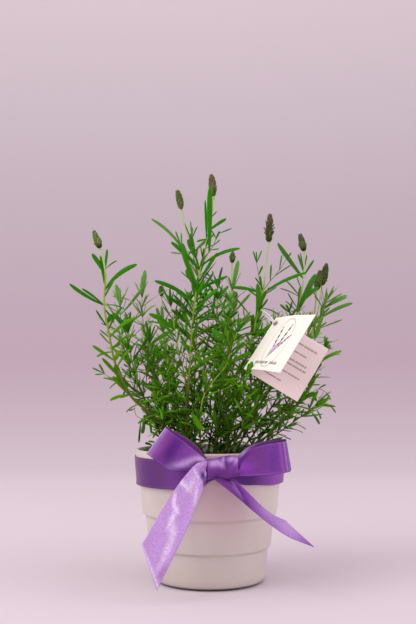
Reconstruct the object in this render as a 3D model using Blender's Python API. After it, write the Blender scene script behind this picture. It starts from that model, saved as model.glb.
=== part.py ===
"""Potted lavender: stepped ceramic pot, soil, leafy stems, flower spikes, ribbon bow and gift tag.

Lengths below are in millimetres and become metres when a mesh is made. The origin is the centre
of the pot's flat underside, +Z is up, and the bow faces -Y.
"""
import math
from random import Random

import bmesh
import bpy
import numpy as np
from mathutils import Vector

MM = 0.001
CLEARANCE = 0.3

# Pot: one glazed wall with three soft steps under a plain collar
POT_HEIGHT = 114.0
FOOT_RADIUS = 42.5
FOOT_CORNER = 7.0
WALL = 3.1
FLOOR = 4.0
LIP = 1.4
POT_SIDES = 44
# Each tier: height and radius at its lower edge, height and radius at its upper edge
TIERS = (
    (FOOT_CORNER, 49.0, 28.8, 50.4),
    (30.6, 53.2, 56.8, 56.1),
    (58.6, 58.7, 84.8, 61.4),
    (86.6, 63.8, POT_HEIGHT - LIP, 65.5),
)

# Soil, with a planting hole for each stem
SOIL_TOP = 102.0
SOIL_CROWN = 1.2
PLANTING_DEPTH = 10.0
HOLE_MARGIN = 1.1

# Ribbon, one width throughout
RIBBON_WIDTH = 24.0
RIBBON_THICKNESS = 0.8
BAND_FOOT = 84.8
BAND_TILT = 1.0

# Folded gift tag: two square panels that share a fold
TAG_WIDTH = 52.0
TAG_HEIGHT = 54.0
TAG_THICKNESS = 0.6
TAG_CORNER = Vector((56.0, -46.0, 226.0))
TAG_FOLD_WAY = Vector((-28.5, -16.0, -44.0))
TAG_COVER_WAY = Vector((29.4, -44.0, -0.3))
TAG_BACK_WAY = Vector((44.0, -4.0, -27.0))
TAG_HOLE_DROP = 6.0
TAG_HOLE_INSET = 4.6
TAG_HOLE_RADIUS = 1.9

# Thin string, tied round a stem and passed through the tag's hole
STRING_DIAMETER = 0.9
STRING_ROUTE = (
    (45.5, -24.5, 233.5), (47.5, -33.0, 231.5), (50.0, -42.0, 228.5), (51.5, -50.0, 225.5),
    (53.4, -54.0, 222.6), (55.4, -51.6, 221.2), (56.7, -48.1, 218.9), (57.8, -44.4, 217.8),
    (56.0, -38.0, 220.5), (52.0, -31.0, 225.5), (47.6, -25.0, 229.6),
)

# Stems: square in section, with opposite leaves, each pair turned a quarter from the last
NODE_SPACING = 25.0
NODE_HEIGHT = 2.2
STALK_RADIUS = 0.8
LEAF_THICKNESS = 0.7
LEAF_GAP = 0.5
MIN_LEAF_HEIGHT = 106.0
RIM_CLEAR_HEIGHT = 119.0
RIM_CLEAR_RADIUS = 57.0

# Each stem: foot on the soil, further points of its middle line, radius at the foot, how many
# points at the top are a bare flower stalk, and the tip of the flower spike that it carries
STEMS = {
    "stem_left": (
        (-27, -16), ((-45, -25, 128), (-60, -30, 151), (-74, -30, 173), (-82, -30, 190),
                     (-87, -30, 213), (-91, -30, 238), (-90, -30, 262), (-92, -30, 278),
                     (-94.6, -30, 286.6)), 1.6, 2, (-101, -30, 303.5)),
    "stem_centre": (
        (-18, -24), ((-19, -26, 150), (-17, -26, 190), (-15, -26, 224), (-11, -26, 256),
                     (-4, -22, 288), (0, -20, 310), (3.4, -18, 334.6)), 1.7, 2, (1, -16, 357.5)),
    "stem_centre_left": (
        (-21, -33), ((-20, -38, 140), (-20, -40, 170), (-26, -40, 196), (-30, -40, 218),
                     (-33, -40, 236)), 1.3, 0, None),
    "stem_centre_slim": (
        (-12, -4), ((-14, 4, 150), (-12, 9, 220), (-11, 10, 268), (-15, 10, 296),
                    (-21, 10, 310), (-25.4, 10, 328.6)), 1.3, 2, (-29.4, 10, 347.6)),
    "stem_front": (
        (-8, -33), ((-8, -40, 130), (-6, -44, 158), (4, -45, 174), (13, -45, 185),
                    (18, -45, 199), (23, -45, 214)), 1.2, 0, None),
    "stem_right_tall": (
        (10, -20), ((16, -22, 130), (26, -22, 170), (35, -21, 204), (42, -20, 233),
                    (47, -20, 254), (49, -20, 274), (51.7, -20, 293.6)), 1.5, 2, (53, -20, 320)),
    "stem_right": (
        (20, -10), ((32, -4, 130), (50, 2, 170), (68, 5, 204), (78, 5, 232), (82, 5, 250),
                    (85, 5, 270), (85.5, 5, 289.2)), 1.5, 2, (81.5, 5, 306.5)),
    "stem_right_back": (
        (24, 14), ((44, 28, 130), (68, 42, 165), (88, 50, 200), (99, 52, 225), (104, 52, 245),
                   (107, 52, 263.2)), 1.4, 2, (112, 52, 286)),
    "stem_right_inner": (
        (14, 22), ((32, 30, 130), (56, 34, 165), (80, 34, 200), (94, 34, 222), (98, 34, 240),
                   (99.5, 34, 256.6)), 1.3, 2, (103.5, 34, 277)),
    "stem_right_edge": (
        (29, 3), ((50, 9, 128), (74, 15, 160), (91, 20, 195), (99, 24, 222), (106, 25, 244)),
        1.3, 0, None),
    "stem_right_mid": (
        (31, -6), ((48, -2, 122), (72, 1, 146), (88, 4, 168), (97, 6, 190)), 1.2, 0, None),
    "stem_right_low": (
        (26, -18), ((44, -20, 118), (62, -16, 130), (80, -8, 142), (93, 0, 151)), 1.1, 0, None),
    "stem_front_right": (
        (12, -32), ((22, -38, 124), (35, -40, 144), (48, -36, 162), (58, -31, 180),
                    (64, -27, 197)), 1.2, 0, None),
    "stem_front_low": (
        (20, -27), ((37, -35, 118), (54, -40, 132), (67, -40, 144), (77, -37, 156)), 1.1, 0, None),
    "stem_middle": (
        (2, -25), ((6, -30, 130), (10, -31, 155), (15, -31, 178), (17, -30, 198)), 1.2, 0, None),
    "stem_heart": (
        (4, -8), ((6, -5, 140), (7, -2, 190), (6, 0, 228), (7, 0, 256)), 1.4, 0, None),
    "stem_heart_back": (
        (8, 5), ((12, 15, 140), (17, 24, 190), (20, 29, 230), (21, 30, 257)), 1.3, 0, None),
    "stem_back_tall": (
        (5, 16), ((10, 36, 140), (16, 50, 190), (19, 58, 225), (20, 60, 248), (21, 60, 268),
                  (21.6, 60, 285.8)), 1.3, 2, (22.4, 60, 298.5)),
    "stem_back": (
        (-2, 27), ((4, 48, 140), (14, 64, 180), (20, 70, 210), (23, 71, 230),
                   (23.7, 71, 245.2)), 1.3, 2, (25.7, 71, 260.5)),
    "stem_back_right": (
        (13, 33), ((28, 48, 130), (46, 60, 165), (58, 68, 198), (63, 70, 224)), 1.3, 0, None),
    "stem_back_left": (
        (-12, 18), ((-24, 36, 130), (-36, 50, 170), (-43, 58, 205), (-45, 60, 226),
                    (-45, 60, 242), (-46, 60, 253.2)), 1.3, 2, (-47, 60, 265)),
    "stem_back_outer": (
        (-14, 30), ((-30, 50, 128), (-46, 66, 158), (-56, 76, 188), (-60, 80, 212)),
        1.2, 0, None),
    "stem_left_back": (
        (-21, 8), ((-36, 24, 130), (-49, 38, 170), (-58, 44, 205), (-63, 45, 230),
                   (-64, 45, 252)), 1.3, 0, None),
    "stem_left_far": (
        (-29, 2), ((-46, 14, 130), (-64, 28, 165), (-78, 37, 198), (-83, 40, 222),
                   (-84, 40, 243)), 1.3, 0, None),
    "stem_left_mid": (
        (-33, -7), ((-43, -9, 125), (-56, -8, 155), (-66, -6, 180), (-71, -6, 202),
                    (-72, -6, 216)), 1.2, 0, None),
    "stem_left_inner": (
        (-22, -7), ((-30, -7, 128), (-40, -9, 152), (-48, -10, 174), (-52, -10, 192),
                    (-53, -10, 206)), 1.2, 0, None),
}

# Long leaves set one by one: stem, height on it, heading round +Z from +X and rise in degrees,
# length, width, and how far it bends down along its length in degrees
LONG_LEAVES = (
    ("stem_left", 249, 5, 62, 37, 4.6, 44), ("stem_left", 263, 175, 62, 22, 4.0, 10),
    ("stem_left", 236, 165, 24, 38, 3.4, -14), ("stem_left", 209, -10, 55, 31, 4.6, 38),
    ("stem_left", 187, 190, 50, 26, 3.8, 12), ("stem_left", 172, 205, 42, 28, 3.6, 4),
    ("stem_left", 151, 185, 18, 27, 3.6, 10),
    ("stem_centre", 300, 265, 86, 42, 5.4, 4), ("stem_centre", 283, 5, 46, 34, 4.2, 26),
    ("stem_centre", 268, 200, 52, 36, 4.0, 20), ("stem_centre", 246, 210, 34, 36, 4.4, 28),
    ("stem_centre", 232, -15, 52, 30, 4.2, 20), ("stem_centre", 207, 200, 50, 28, 4.2, 18),
    ("stem_centre", 178, -10, 42, 30, 4.2, 20), ("stem_centre", 150, 262, -14, 21, 5.2, 50),
    ("stem_centre_slim", 280, 170, 48, 34, 3.8, 12), ("stem_centre_slim", 290, 20, 50, 26, 3.6, 16),
    ("stem_centre_left", 214, 175, 48, 27, 4.2, 30), ("stem_centre_left", 190, 20, 52, 24, 4.0, 20),
    ("stem_front", 200, 150, 52, 26, 3.8, 26), ("stem_front", 186, 10, 34, 24, 4.0, 18),
    ("stem_right_tall", 249, -12, 36, 42, 3.6, 22), ("stem_right_tall", 247, 160, 26, 30, 3.6, 26),
    ("stem_right_tall", 226, 245, 66, 28, 5.2, 16), ("stem_right_tall", 205, 5, 46, 27, 4.2, 22),
    ("stem_right", 259, 175, 48, 38, 4.8, 2), ("stem_right", 237, 300, 68, 36, 6.0, 8),
    ("stem_right", 240, 20, 50, 26, 4.2, 18), ("stem_right_edge", 230, -8, 36, 33, 3.6, 22),
    ("stem_right_edge", 236, 15, 40, 28, 3.8, 20), ("stem_right_mid", 186, 10, 44, 27, 3.6, 30),
    ("stem_right_low", 147, 20, 12, 24, 3.0, -40), ("stem_heart_back", 255, 40, 76, 30, 4.4, 4),
    ("stem_left_back", 250, 60, 80, 27, 4.6, 4), ("stem_left_far", 241, 120, 70, 24, 4.4, 10),
    ("stem_left_mid", 214, 200, 60, 24, 4.0, 16), ("stem_left_inner", 204, 10, 46, 26, 4.2, 26),
)

# Bow: each strip is a list of stations, and a station is the two edges of the ribbon there
LOOP_LEFT = (
    ((-3.2, -74.0, 109.5), (-5.0, -75.0, 102.5)), ((-12.0, -77.0, 116.5), (-17.0, -78.5, 98.6)),
    ((-24.0, -79.0, 126.0), (-34.0, -80.5, 103.0)), ((-34.0, -78.5, 134.6), (-48.4, -79.0, 113.6)),
    ((-35.4, -76.2, 135.6), (-50.2, -76.8, 114.6)), ((-34.0, -73.6, 134.8), (-48.6, -74.2, 113.8)),
    ((-20.0, -70.6, 124.0), (-30.0, -72.6, 105.0)), ((-3.2, -69.4, 111.0), (-6.0, -70.6, 103.5)),
)
LOOP_RIGHT = (
    ((23.4, -75.6, 112.6), (23.4, -76.6, 98.4)), ((33.0, -76.4, 119.5), (36.0, -78.0, 97.6)),
    ((44.0, -74.6, 123.0), (48.0, -76.0, 97.4)), ((60.4, -67.0, 124.2), (64.0, -68.0, 99.4)),
    ((62.0, -63.8, 124.6), (65.6, -64.6, 100.2)), ((60.6, -60.6, 124.4), (64.2, -61.4, 100.0)),
    ((43.0, -66.0, 123.6), (46.0, -67.6, 99.6)), ((23.4, -70.6, 113.0), (23.4, -71.4, 100.5)),
)
TAIL_LEFT = (
    ((-3.4, -79.2, 107.6), (-3.6, -79.2, 99.0)), ((-11.0, -82.5, 105.0), (-4.2, -79.6, 92.0)),
    ((-20.0, -86.0, 97.6), (-6.4, -80.5, 85.0)), ((-29.0, -88.5, 86.0), (-10.5, -82.5, 75.5)),
    ((-39.0, -90.5, 70.0), (-18.0, -86.0, 57.5)), ((-49.0, -92.0, 53.0), (-27.5, -90.0, 38.0)),
    ((-53.0, -92.6, 46.6), (-41.0, -94.0, 11.5)),
)
TAIL_RIGHT = (
    ((20.0, -73.4, 92.6), (5.0, -73.4, 92.6)), ((26.5, -72.0, 87.3), (15.0, -78.0, 85.0)),
    ((33.7, -70.0, 80.6), (26.7, -84.0, 76.3)), ((42.7, -68.0, 73.2), (39.0, -88.0, 66.4)),
    ((51.5, -67.6, 67.0), (50.5, -89.4, 58.0)), ((58.6, -68.6, 62.0), (65.0, -89.4, 49.4)),
    ((60.8, -69.0, 60.6), (81.2, -88.0, 43.6)),
)
KNOT_CENTRE = (10.0, -72.8, 102.2)
KNOT_HALF = (12.4, 5.0, 8.6)

SPIKE_SIDES = 6
SPIKE_RADIUS = 4.4
SPIKE_GAP = 0.4

COLOURS = {
    "glaze": ((0.78, 0.74, 0.70), 0.35),
    "peat": ((0.035, 0.022, 0.015), 0.95),
    "leaf": ((0.08, 0.24, 0.03), 0.55),
    "bud": ((0.16, 0.19, 0.09), 0.8),
    "ribbon": ((0.25, 0.09, 0.42), 0.35),
    "card": ((0.84, 0.80, 0.74), 0.8),
    "string": ((0.86, 0.84, 0.80), 0.85),
}


def material(name, finish):
    colour, roughness = COLOURS[finish]
    made = bpy.data.materials.new(name)
    made.use_nodes = True
    shader = made.node_tree.nodes["Principled BSDF"]
    shader.inputs["Base Color"].default_value = (*colour, 1.0)
    shader.inputs["Roughness"].default_value = roughness
    shader.inputs["Metallic"].default_value = 0.0
    made.diffuse_color = (*colour, 1.0)
    return made


def add_object(name, bm, finish, smooth=False):
    """Make a named object from a bmesh in millimetres, with its own material."""
    bmesh.ops.recalc_face_normals(bm, faces=bm.faces)
    bmesh.ops.scale(bm, vec=(MM, MM, MM), verts=bm.verts)
    mesh = bpy.data.meshes.new(name)
    bm.to_mesh(mesh)
    bm.free()
    if smooth:
        mesh.shade_smooth()
        mesh.set_sharp_from_angle(angle=math.radians(40))
    made = bpy.data.objects.new(name, mesh)
    bpy.context.scene.collection.objects.link(made)
    if finish:
        mesh.materials.append(material(name, finish))
    return made


def cut(target, cutter):
    """Take the cutter away from the target, and leave the cutter out of the part."""
    cutter.hide_render = True
    cutter.display_type = "WIRE"
    modifier = target.modifiers.new("cut", "BOOLEAN")
    modifier.operation = "DIFFERENCE"
    modifier.solver = "EXACT"
    modifier.object = cutter


# ---------------------------------------------------------------- curves

def smooth_curve(points, per_span):
    """Points on a Catmull-Rom curve through the given points."""
    p = [Vector(q) for q in points]
    p = [2 * p[0] - p[1], *p, 2 * p[-1] - p[-2]]
    out = []
    for i in range(1, len(p) - 2):
        for k in range(per_span):
            t = k / per_span
            a = 2 * p[i]
            b = (p[i + 1] - p[i - 1]) * t
            c = (2 * p[i - 1] - 5 * p[i] + 4 * p[i + 1] - p[i + 2]) * t * t
            d = (-p[i - 1] + 3 * p[i] - 3 * p[i + 1] + p[i + 2]) * t * t * t
            out.append((a + b + c + d) / 2)
    out.append(p[-2])
    return out


class Path:
    """A curve that is read by the distance along it."""

    def __init__(self, points):
        self.points = points
        self.reach = [0.0]
        for a, b in zip(points, points[1:]):
            self.reach.append(self.reach[-1] + (b - a).length)
        self.length = self.reach[-1]

    def at(self, distance):
        distance = min(max(distance, 0.0), self.length)
        for i in range(1, len(self.reach)):
            if self.reach[i] >= distance:
                span = self.reach[i] - self.reach[i - 1]
                share = (distance - self.reach[i - 1]) / span
                return self.points[i - 1].lerp(self.points[i], share)
        return self.points[-1]

    def tangent(self, distance):
        return (self.at(distance + 1.0) - self.at(distance - 1.0)).normalized()

    def distance_at_height(self, height):
        for point, reach in zip(self.points, self.reach):
            if point.z >= height:
                return reach
        return self.length


def heading_vector(heading, rise):
    flat = math.cos(math.radians(rise))
    turn = math.radians(heading)
    return Vector((flat * math.cos(turn), flat * math.sin(turn), math.sin(math.radians(rise))))


# ---------------------------------------------------------------- pot and soil

def outer_wall():
    """Radius and height of the pot's outside, from the foot to the lip."""
    profile = [(FOOT_RADIUS, 0.0)]
    for step in (1, 2):
        turn = step * math.pi / 6
        profile.append((FOOT_RADIUS + (TIERS[0][1] - FOOT_RADIUS) * math.sin(turn),
                        FOOT_CORNER * (1 - math.cos(turn))))
    for low, low_radius, high, high_radius in TIERS:
        profile += [(low_radius, low), (high_radius, high)]
    return profile


def wall_radius(height):
    profile = outer_wall()
    return float(np.interp(height, [z for _, z in profile], [r for r, _ in profile]))


def inner_wall(inset):
    """The inside of the pot, from the lip down to the floor, moved inwards by inset."""
    points = [(radius - WALL - inset, height) for radius, height in reversed(outer_wall())
              if height >= FOOT_CORNER]
    return points + [(FOOT_RADIUS - WALL - inset, FLOOR + inset)]


def turned(name, profile, finish):
    """Turn a profile that starts and ends on the axis into a closed solid."""
    bm = bmesh.new()
    line = [bm.verts.new((radius, 0.0, height)) for radius, height in profile]
    edges = [bm.edges.new(pair) for pair in zip(line, line[1:])]
    bmesh.ops.spin(bm, geom=line + edges, cent=(0, 0, 0), axis=(0, 0, 1),
                   angle=2 * math.pi, steps=POT_SIDES, use_merge=True)
    bmesh.ops.remove_doubles(bm, verts=bm.verts, dist=0.01)
    return add_object(name, bm, finish, smooth=True)


def build_pot():
    outer = outer_wall()
    rim_radius = outer[-1][0]
    lip = [(rim_radius - WALL / 2 + WALL / 2 * math.cos(turn), POT_HEIGHT - LIP + LIP * math.sin(turn))
           for turn in (math.pi / 4, math.pi / 2, 3 * math.pi / 4)]
    return turned("pot", [(0.0, 0.0), *outer, *lip, *inner_wall(0.0), (0.0, FLOOR)], "glaze")


def build_soil():
    side = [(radius, height) for radius, height in inner_wall(CLEARANCE) if height < SOIL_TOP]
    edge_radius = wall_radius(SOIL_TOP) - WALL - CLEARANCE
    profile = [(0.0, SOIL_TOP + SOIL_CROWN), (edge_radius / 2, SOIL_TOP + SOIL_CROWN * 0.7),
               (edge_radius, SOIL_TOP), *side, (0.0, FLOOR + CLEARANCE)]
    soil = turned("soil", profile, "peat")
    bm = bmesh.new()
    for foot, _, radius, _, _ in STEMS.values():
        ring = [Vector((foot[0], foot[1], 0)) + (radius + HOLE_MARGIN) * heading_vector(60 * k, 0)
                for k in range(6)]
        low = [bm.verts.new((p.x, p.y, SOIL_TOP - PLANTING_DEPTH - CLEARANCE)) for p in ring]
        high = [bm.verts.new((p.x, p.y, SOIL_TOP + 10.0)) for p in ring]
        bm.faces.new(low)
        bm.faces.new(high)
        for k in range(6):
            bm.faces.new((low[k], low[(k + 1) % 6], high[(k + 1) % 6], high[k]))
    cut(soil, add_object("planting_holes", bm, None))


# ---------------------------------------------------------------- room between the grown pieces

class Room:
    """Remembers what already stands where, so that no leaf grows into another piece."""

    def __init__(self):
        self.starts, self.ends, self.radii, self.owners = [], [], [], []

    def add(self, points, radius, owner):
        for a, b in zip(points, points[1:]):
            self.starts.append(tuple(a))
            self.ends.append(tuple(b))
            self.radii.append(radius)
            self.owners.append(owner)

    def is_free(self, points, radius, parent):
        for a in points:
            outside = math.hypot(a.x, a.y) > RIM_CLEAR_RADIUS
            if a.z < (RIM_CLEAR_HEIGHT if outside else MIN_LEAF_HEIGHT):
                return False
        start, end = np.array(self.starts), np.array(self.ends)
        needed = np.array(self.radii) + radius + LEAF_GAP
        others = np.array([owner != parent for owner in self.owners])
        run = end - start
        square = np.maximum((run * run).sum(1), 1e-9)
        for a in points:
            share = np.clip(((np.array(a) - start) * run).sum(1) / square, 0, 1)
            away = np.linalg.norm(start + run * share[:, None] - np.array(a), axis=1)
            if (others & (away < needed)).any():
                return False
        return True


# ---------------------------------------------------------------- stems and leaves

def bridge(bm, first, second):
    """Side faces between two rings of four corners."""
    for k in range(4):
        bm.faces.new((first[k], first[(k + 1) % 4], second[(k + 1) % 4], second[k]))


def square_ring(bm, centre, across, along, radius):
    return [bm.verts.new(centre + radius * (a * across + b * along))
            for a, b in ((-1, -1), (1, -1), (1, 1), (-1, 1))]


def bent_line(start, way, length, bend, parts):
    """Points of a line that leaves along way and turns down by bend degrees over its length."""
    side = way.cross(Vector((0, 0, 1)))
    side = side.normalized() if side.length > 0.05 else Vector((1, 0, 0))
    points = [start]
    for k in range(parts):
        angle = -math.radians(bend) * (k + 0.5) / parts
        turned_way = way * math.cos(angle) + side.cross(way) * math.sin(angle)
        points.append(points[-1] + turned_way * (length / parts))
    return points


def grow_leaf(bm, face, line, width):
    """Draw a face of a stem out into a thin, pointed leaf along a line of three points."""
    base = list(face.verts)
    centre = face.calc_center_median()
    way = (line[1] - centre).normalized()
    across = base[1].co - base[0].co
    across = (across - way * across.dot(way)).normalized()
    flat = way.cross(across)
    if flat.dot(base[3].co - base[0].co) < 0:
        flat.negate()
    bm.faces.remove(face)
    middle = [bm.verts.new(line[1] + a * width / 2 * across + b * LEAF_THICKNESS / 2 * flat)
              for a, b in ((-1, -1), (1, -1), (1, 1), (-1, 1))]
    bridge(bm, base, middle)
    tip = bm.verts.new(line[2])
    for k in range(4):
        bm.faces.new((middle[k], middle[(k + 1) % 4], tip))


def try_leaf(bm, room, face, way, length, width, bend, parent):
    """Grow a leaf if there is room for it, and say whether it grew."""
    line = bent_line(face.calc_center_median(), way, length, bend, 4)
    room_line = [line[1], line[1].lerp(line[2], 0.5), *line[2:]]
    if not room.is_free(room_line, width / 2, parent):
        return False
    grow_leaf(bm, face, (line[0], line[2], line[4]), width)
    room.add(room_line, width / 2, (parent, "leaf", len(room.owners)))
    return True


def ring_frames(path, stations, turn):
    """Two cross directions at each station, carried along the path without twist."""
    tangent = path.tangent(stations[0])
    across = heading_vector(turn, 0)
    across = (across - tangent * across.dot(tangent)).normalized()
    frames = []
    for distance in stations:
        tangent = path.tangent(distance)
        across = (across - tangent * across.dot(tangent)).normalized()
        frames.append((across.copy(), tangent.cross(across)))
    return frames


def grow_tube(bm, first_ring, path, stations, frames, radii):
    """Carry a ring along a path. Returns each span's side faces, which may bear leaves."""
    rings = [first_ring]
    spans = []
    for distance, (across, along), radius in zip(stations, frames, radii):
        ring = square_ring(bm, path.at(distance), across, along, radius)
        before = set(bm.faces)
        bridge(bm, rings[-1], ring)
        spans.append([f for f in bm.faces if f not in before])
        rings.append(ring)
    return rings, spans


def grow_branch(bm, room, face, way, length, parent, rng):
    """A side shoot with one leaf pair and an end leaf, drawn out of a face of the stem."""
    line = bent_line(face.calc_center_median(), way, length, -34, 8)
    if not room.is_free(line[1:], 1.0, parent):
        return False
    base = list(face.verts)
    path = Path(line)
    across = base[1].co - base[0].co
    node = length * 0.6
    stations = [node - NODE_HEIGHT / 2, node + NODE_HEIGHT / 2, length]
    frames = []
    for distance in stations:
        tangent = path.tangent(distance)
        across = (across - tangent * across.dot(tangent)).normalized()
        flat = tangent.cross(across)
        if flat.dot(base[3].co - base[0].co) < 0:
            flat.negate()
        frames.append((across.copy(), flat))
    bm.faces.remove(face)
    rings, spans = grow_tube(bm, base, path, stations, frames, [0.8, 0.8, 0.6])
    owner = (parent, "branch", len(room.owners))
    room.add(line, 0.9, owner)
    for side in (0, 2):
        outward = spans[1][side].calc_center_median() - path.at(node)
        way_out = (outward.normalized() + path.tangent(node) * 1.1).normalized()
        try_leaf(bm, room, spans[1][side], way_out, rng.uniform(15, 21), 3.2, 18, owner)
    cap = bm.faces.new(rings[-1])
    try_leaf(bm, room, cap, path.tangent(length), 16.0, 3.2, 8, owner)
    return True


def stem_path(foot, points):
    start = (foot[0], foot[1], SOIL_TOP + 2.0)
    return Path(smooth_curve([start, *points], 8))


def build_stem(name, room, rng):
    foot, points, radius, stalk_points, _ = STEMS[name]
    path = stem_path(foot, points)
    leafy = path.length
    if stalk_points:
        leafy = path.distance_at_height(points[-1 - stalk_points][2])
    count = max(2, round((leafy - 12.0) / NODE_SPACING))
    nodes = [12.0 + (leafy - 12.0) * k / count for k in range(count + 1)]
    if not stalk_points:
        nodes[-1] -= NODE_HEIGHT
    stations = [0.0] + [d for n in nodes for d in (n - NODE_HEIGHT / 2, n + NODE_HEIGHT / 2)]
    stations += [path.length]
    frames = ring_frames(path, stations, rng.uniform(0, 90))
    radii = [radius + (STALK_RADIUS - radius) * min(1.0, d / path.length) for d in stations]

    bm = bmesh.new()
    across = Vector((frames[0][0].x, frames[0][0].y, 0.0)).normalized()
    base = Vector((foot[0], foot[1], SOIL_TOP - PLANTING_DEPTH))
    foot_ring = square_ring(bm, base, across, Vector((0, 0, 1)).cross(across), radius)
    bm.faces.new(foot_ring)
    rings, spans = grow_tube(bm, foot_ring, path, stations, frames, radii)
    node_faces = [spans[2 + 2 * k] for k in range(len(nodes))]
    free_faces = {(k, side) for k in range(len(nodes)) for side in range(4)}

    def nearest_face(distance, way):
        """The free face that looks most nearly the way that a leaf should leave."""
        k = min(range(len(nodes)), key=lambda i: abs(nodes[i] - distance))
        choices = [side for side in range(4) if (k, side) in free_faces]
        if not choices:
            return None
        centre = path.at(nodes[k])
        return k, max(choices, key=lambda s: (
            node_faces[k][s].calc_center_median() - centre).normalized().dot(way))

    for stem, height, heading, rise, length, width, bend in LONG_LEAVES:
        if stem != name:
            continue
        way = heading_vector(heading, rise)
        found = nearest_face(path.distance_at_height(height), way)
        if found and try_leaf(bm, room, node_faces[found[0]][found[1]], way, length, width, bend,
                              name):
            free_faces.discard(found)

    for k, node in enumerate(nodes):
        for side in (k % 2, k % 2 + 2):
            if (k, side) not in free_faces:
                continue
            face = node_faces[k][side]
            outward = (face.calc_center_median() - path.at(node)).normalized()
            way = (outward + path.tangent(node) * 0.9).normalized()
            low = node < leafy * 0.62
            if low and side == k % 2 + 2 * (k // 2 % 2) and grow_branch(
                    bm, room, face, way, rng.uniform(24, 38), name, rng):
                free_faces.discard((k, side))
            elif try_leaf(bm, room, face, way, rng.uniform(20, 28), 4.0, rng.uniform(8, 26), name):
                free_faces.discard((k, side))
    cap = bm.faces.new(rings[-1])
    if not stalk_points:
        try_leaf(bm, room, cap, path.tangent(path.length), 20.0, 3.8, 6, name)
    bmesh.ops.triangulate(bm, faces=[f for f in bm.faces if len(f.verts) > 3])
    add_object(name, bm, "leaf")


def build_spike(name, base, tip):
    """A flower spike of closed buds: whorls that swell and narrow along a pointed axis."""
    axis = tip - base
    length = axis.length
    axis.normalize()
    across = axis.cross(Vector((0, 1, 0))).normalized()
    along = axis.cross(across)
    whorls = ((0.0, 0.42), (0.14, 0.86), (0.34, 1.0), (0.52, 0.88), (0.72, 0.72), (0.9, 0.42))
    wide = min(SPIKE_RADIUS, 0.25 * length)
    bm = bmesh.new()
    rings = []
    for k, (share, swell) in enumerate(whorls):
        centre = base + axis * (length * share)
        turn = math.pi / SPIKE_SIDES * (k % 2)
        rings.append([bm.verts.new(centre + wide * swell * (
            math.cos(turn + a) * across + math.sin(turn + a) * along))
            for a in (2 * math.pi * s / SPIKE_SIDES for s in range(SPIKE_SIDES))])
    bm.faces.new(rings[0])
    for k, (low, high) in enumerate(zip(rings, rings[1:])):
        for s in range(SPIKE_SIDES):
            after = (s + 1) % SPIKE_SIDES
            if k % 2 == 0:
                bm.faces.new((low[s], low[after], high[s]))
                bm.faces.new((low[after], high[after], high[s]))
            else:
                bm.faces.new((low[s], high[after], high[s]))
                bm.faces.new((low[s], low[after], high[after]))
    end = bm.verts.new(tip)
    for s in range(SPIKE_SIDES):
        bm.faces.new((rings[-1][s], rings[-1][(s + 1) % SPIKE_SIDES], end))
    add_object(name, bm, "bud")


# ---------------------------------------------------------------- ribbon and tag

def strip_object(name, stations, thickness, finish):
    """A sheet of even thickness between two edges, given station by station."""
    edges = [(Vector(a), Vector(b)) for a, b in stations]
    middles = [(a + b) / 2 for a, b in edges]
    bm = bmesh.new()
    rings = []
    for i, (a, b) in enumerate(edges):
        run = middles[min(i + 1, len(middles) - 1)] - middles[max(i - 1, 0)]
        normal = run.cross(b - a).normalized() * thickness / 2
        rings.append([bm.verts.new(p) for p in (a - normal, b - normal, b + normal, a + normal)])
    bm.faces.new(rings[0])
    bm.faces.new(rings[-1])
    for first, second in zip(rings, rings[1:]):
        bridge(bm, first, second)
    return add_object(name, bm, finish)


def ribbon_strip(name, stations, per_span):
    first = smooth_curve([a for a, _ in stations], per_span)
    second = smooth_curve([b for _, b in stations], per_span)
    strip_object(name, list(zip(first, second)), RIBBON_THICKNESS, "ribbon")


def build_band():
    """The ribbon round the collar, a little higher on the right and drawn in at the knot."""
    bm = bmesh.new()
    rings = []
    for k in range(POT_SIDES):
        turn = 2 * math.pi * k / POT_SIDES
        lift = BAND_TILT * math.cos(turn)
        knot_turn = math.degrees(abs(math.remainder(turn - math.radians(278), 2 * math.pi)))
        draw = 3.0 * max(0.0, 1.0 - knot_turn / 22.0)
        low, high = BAND_FOOT + lift + draw, BAND_FOOT + RIBBON_WIDTH + lift - draw
        corners = []
        for height, out in ((low, 0), (high, 0), (high, RIBBON_THICKNESS), (low, RIBBON_THICKNESS)):
            radius = max(wall_radius(height), TIERS[3][1]) + CLEARANCE + out + 0.15
            corners.append(bm.verts.new(
                (radius * math.cos(turn), radius * math.sin(turn), height)))
        rings.append(corners)
    for first, second in zip(rings, rings[1:] + rings[:1]):
        bridge(bm, first, second)
    add_object("ribbon_band", bm, "ribbon", smooth=True)


def build_knot():
    bm = bmesh.new()
    bmesh.ops.create_uvsphere(bm, u_segments=14, v_segments=8, radius=1.0)
    for vert in bm.verts:
        for axis in range(3):
            value = vert.co[axis]
            boxed = math.copysign(abs(value) ** 0.7, value)
            vert.co[axis] = KNOT_CENTRE[axis] + KNOT_HALF[axis] * boxed
    add_object("bow_knot", bm, "ribbon", smooth=True)


def tag_ways():
    """Unit directions down the fold and across the two panels, square to the fold."""
    down = TAG_FOLD_WAY.normalized()
    across = [(way - down * way.dot(down)).normalized() for way in (TAG_COVER_WAY, TAG_BACK_WAY)]
    return down, across[0], across[1]


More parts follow.
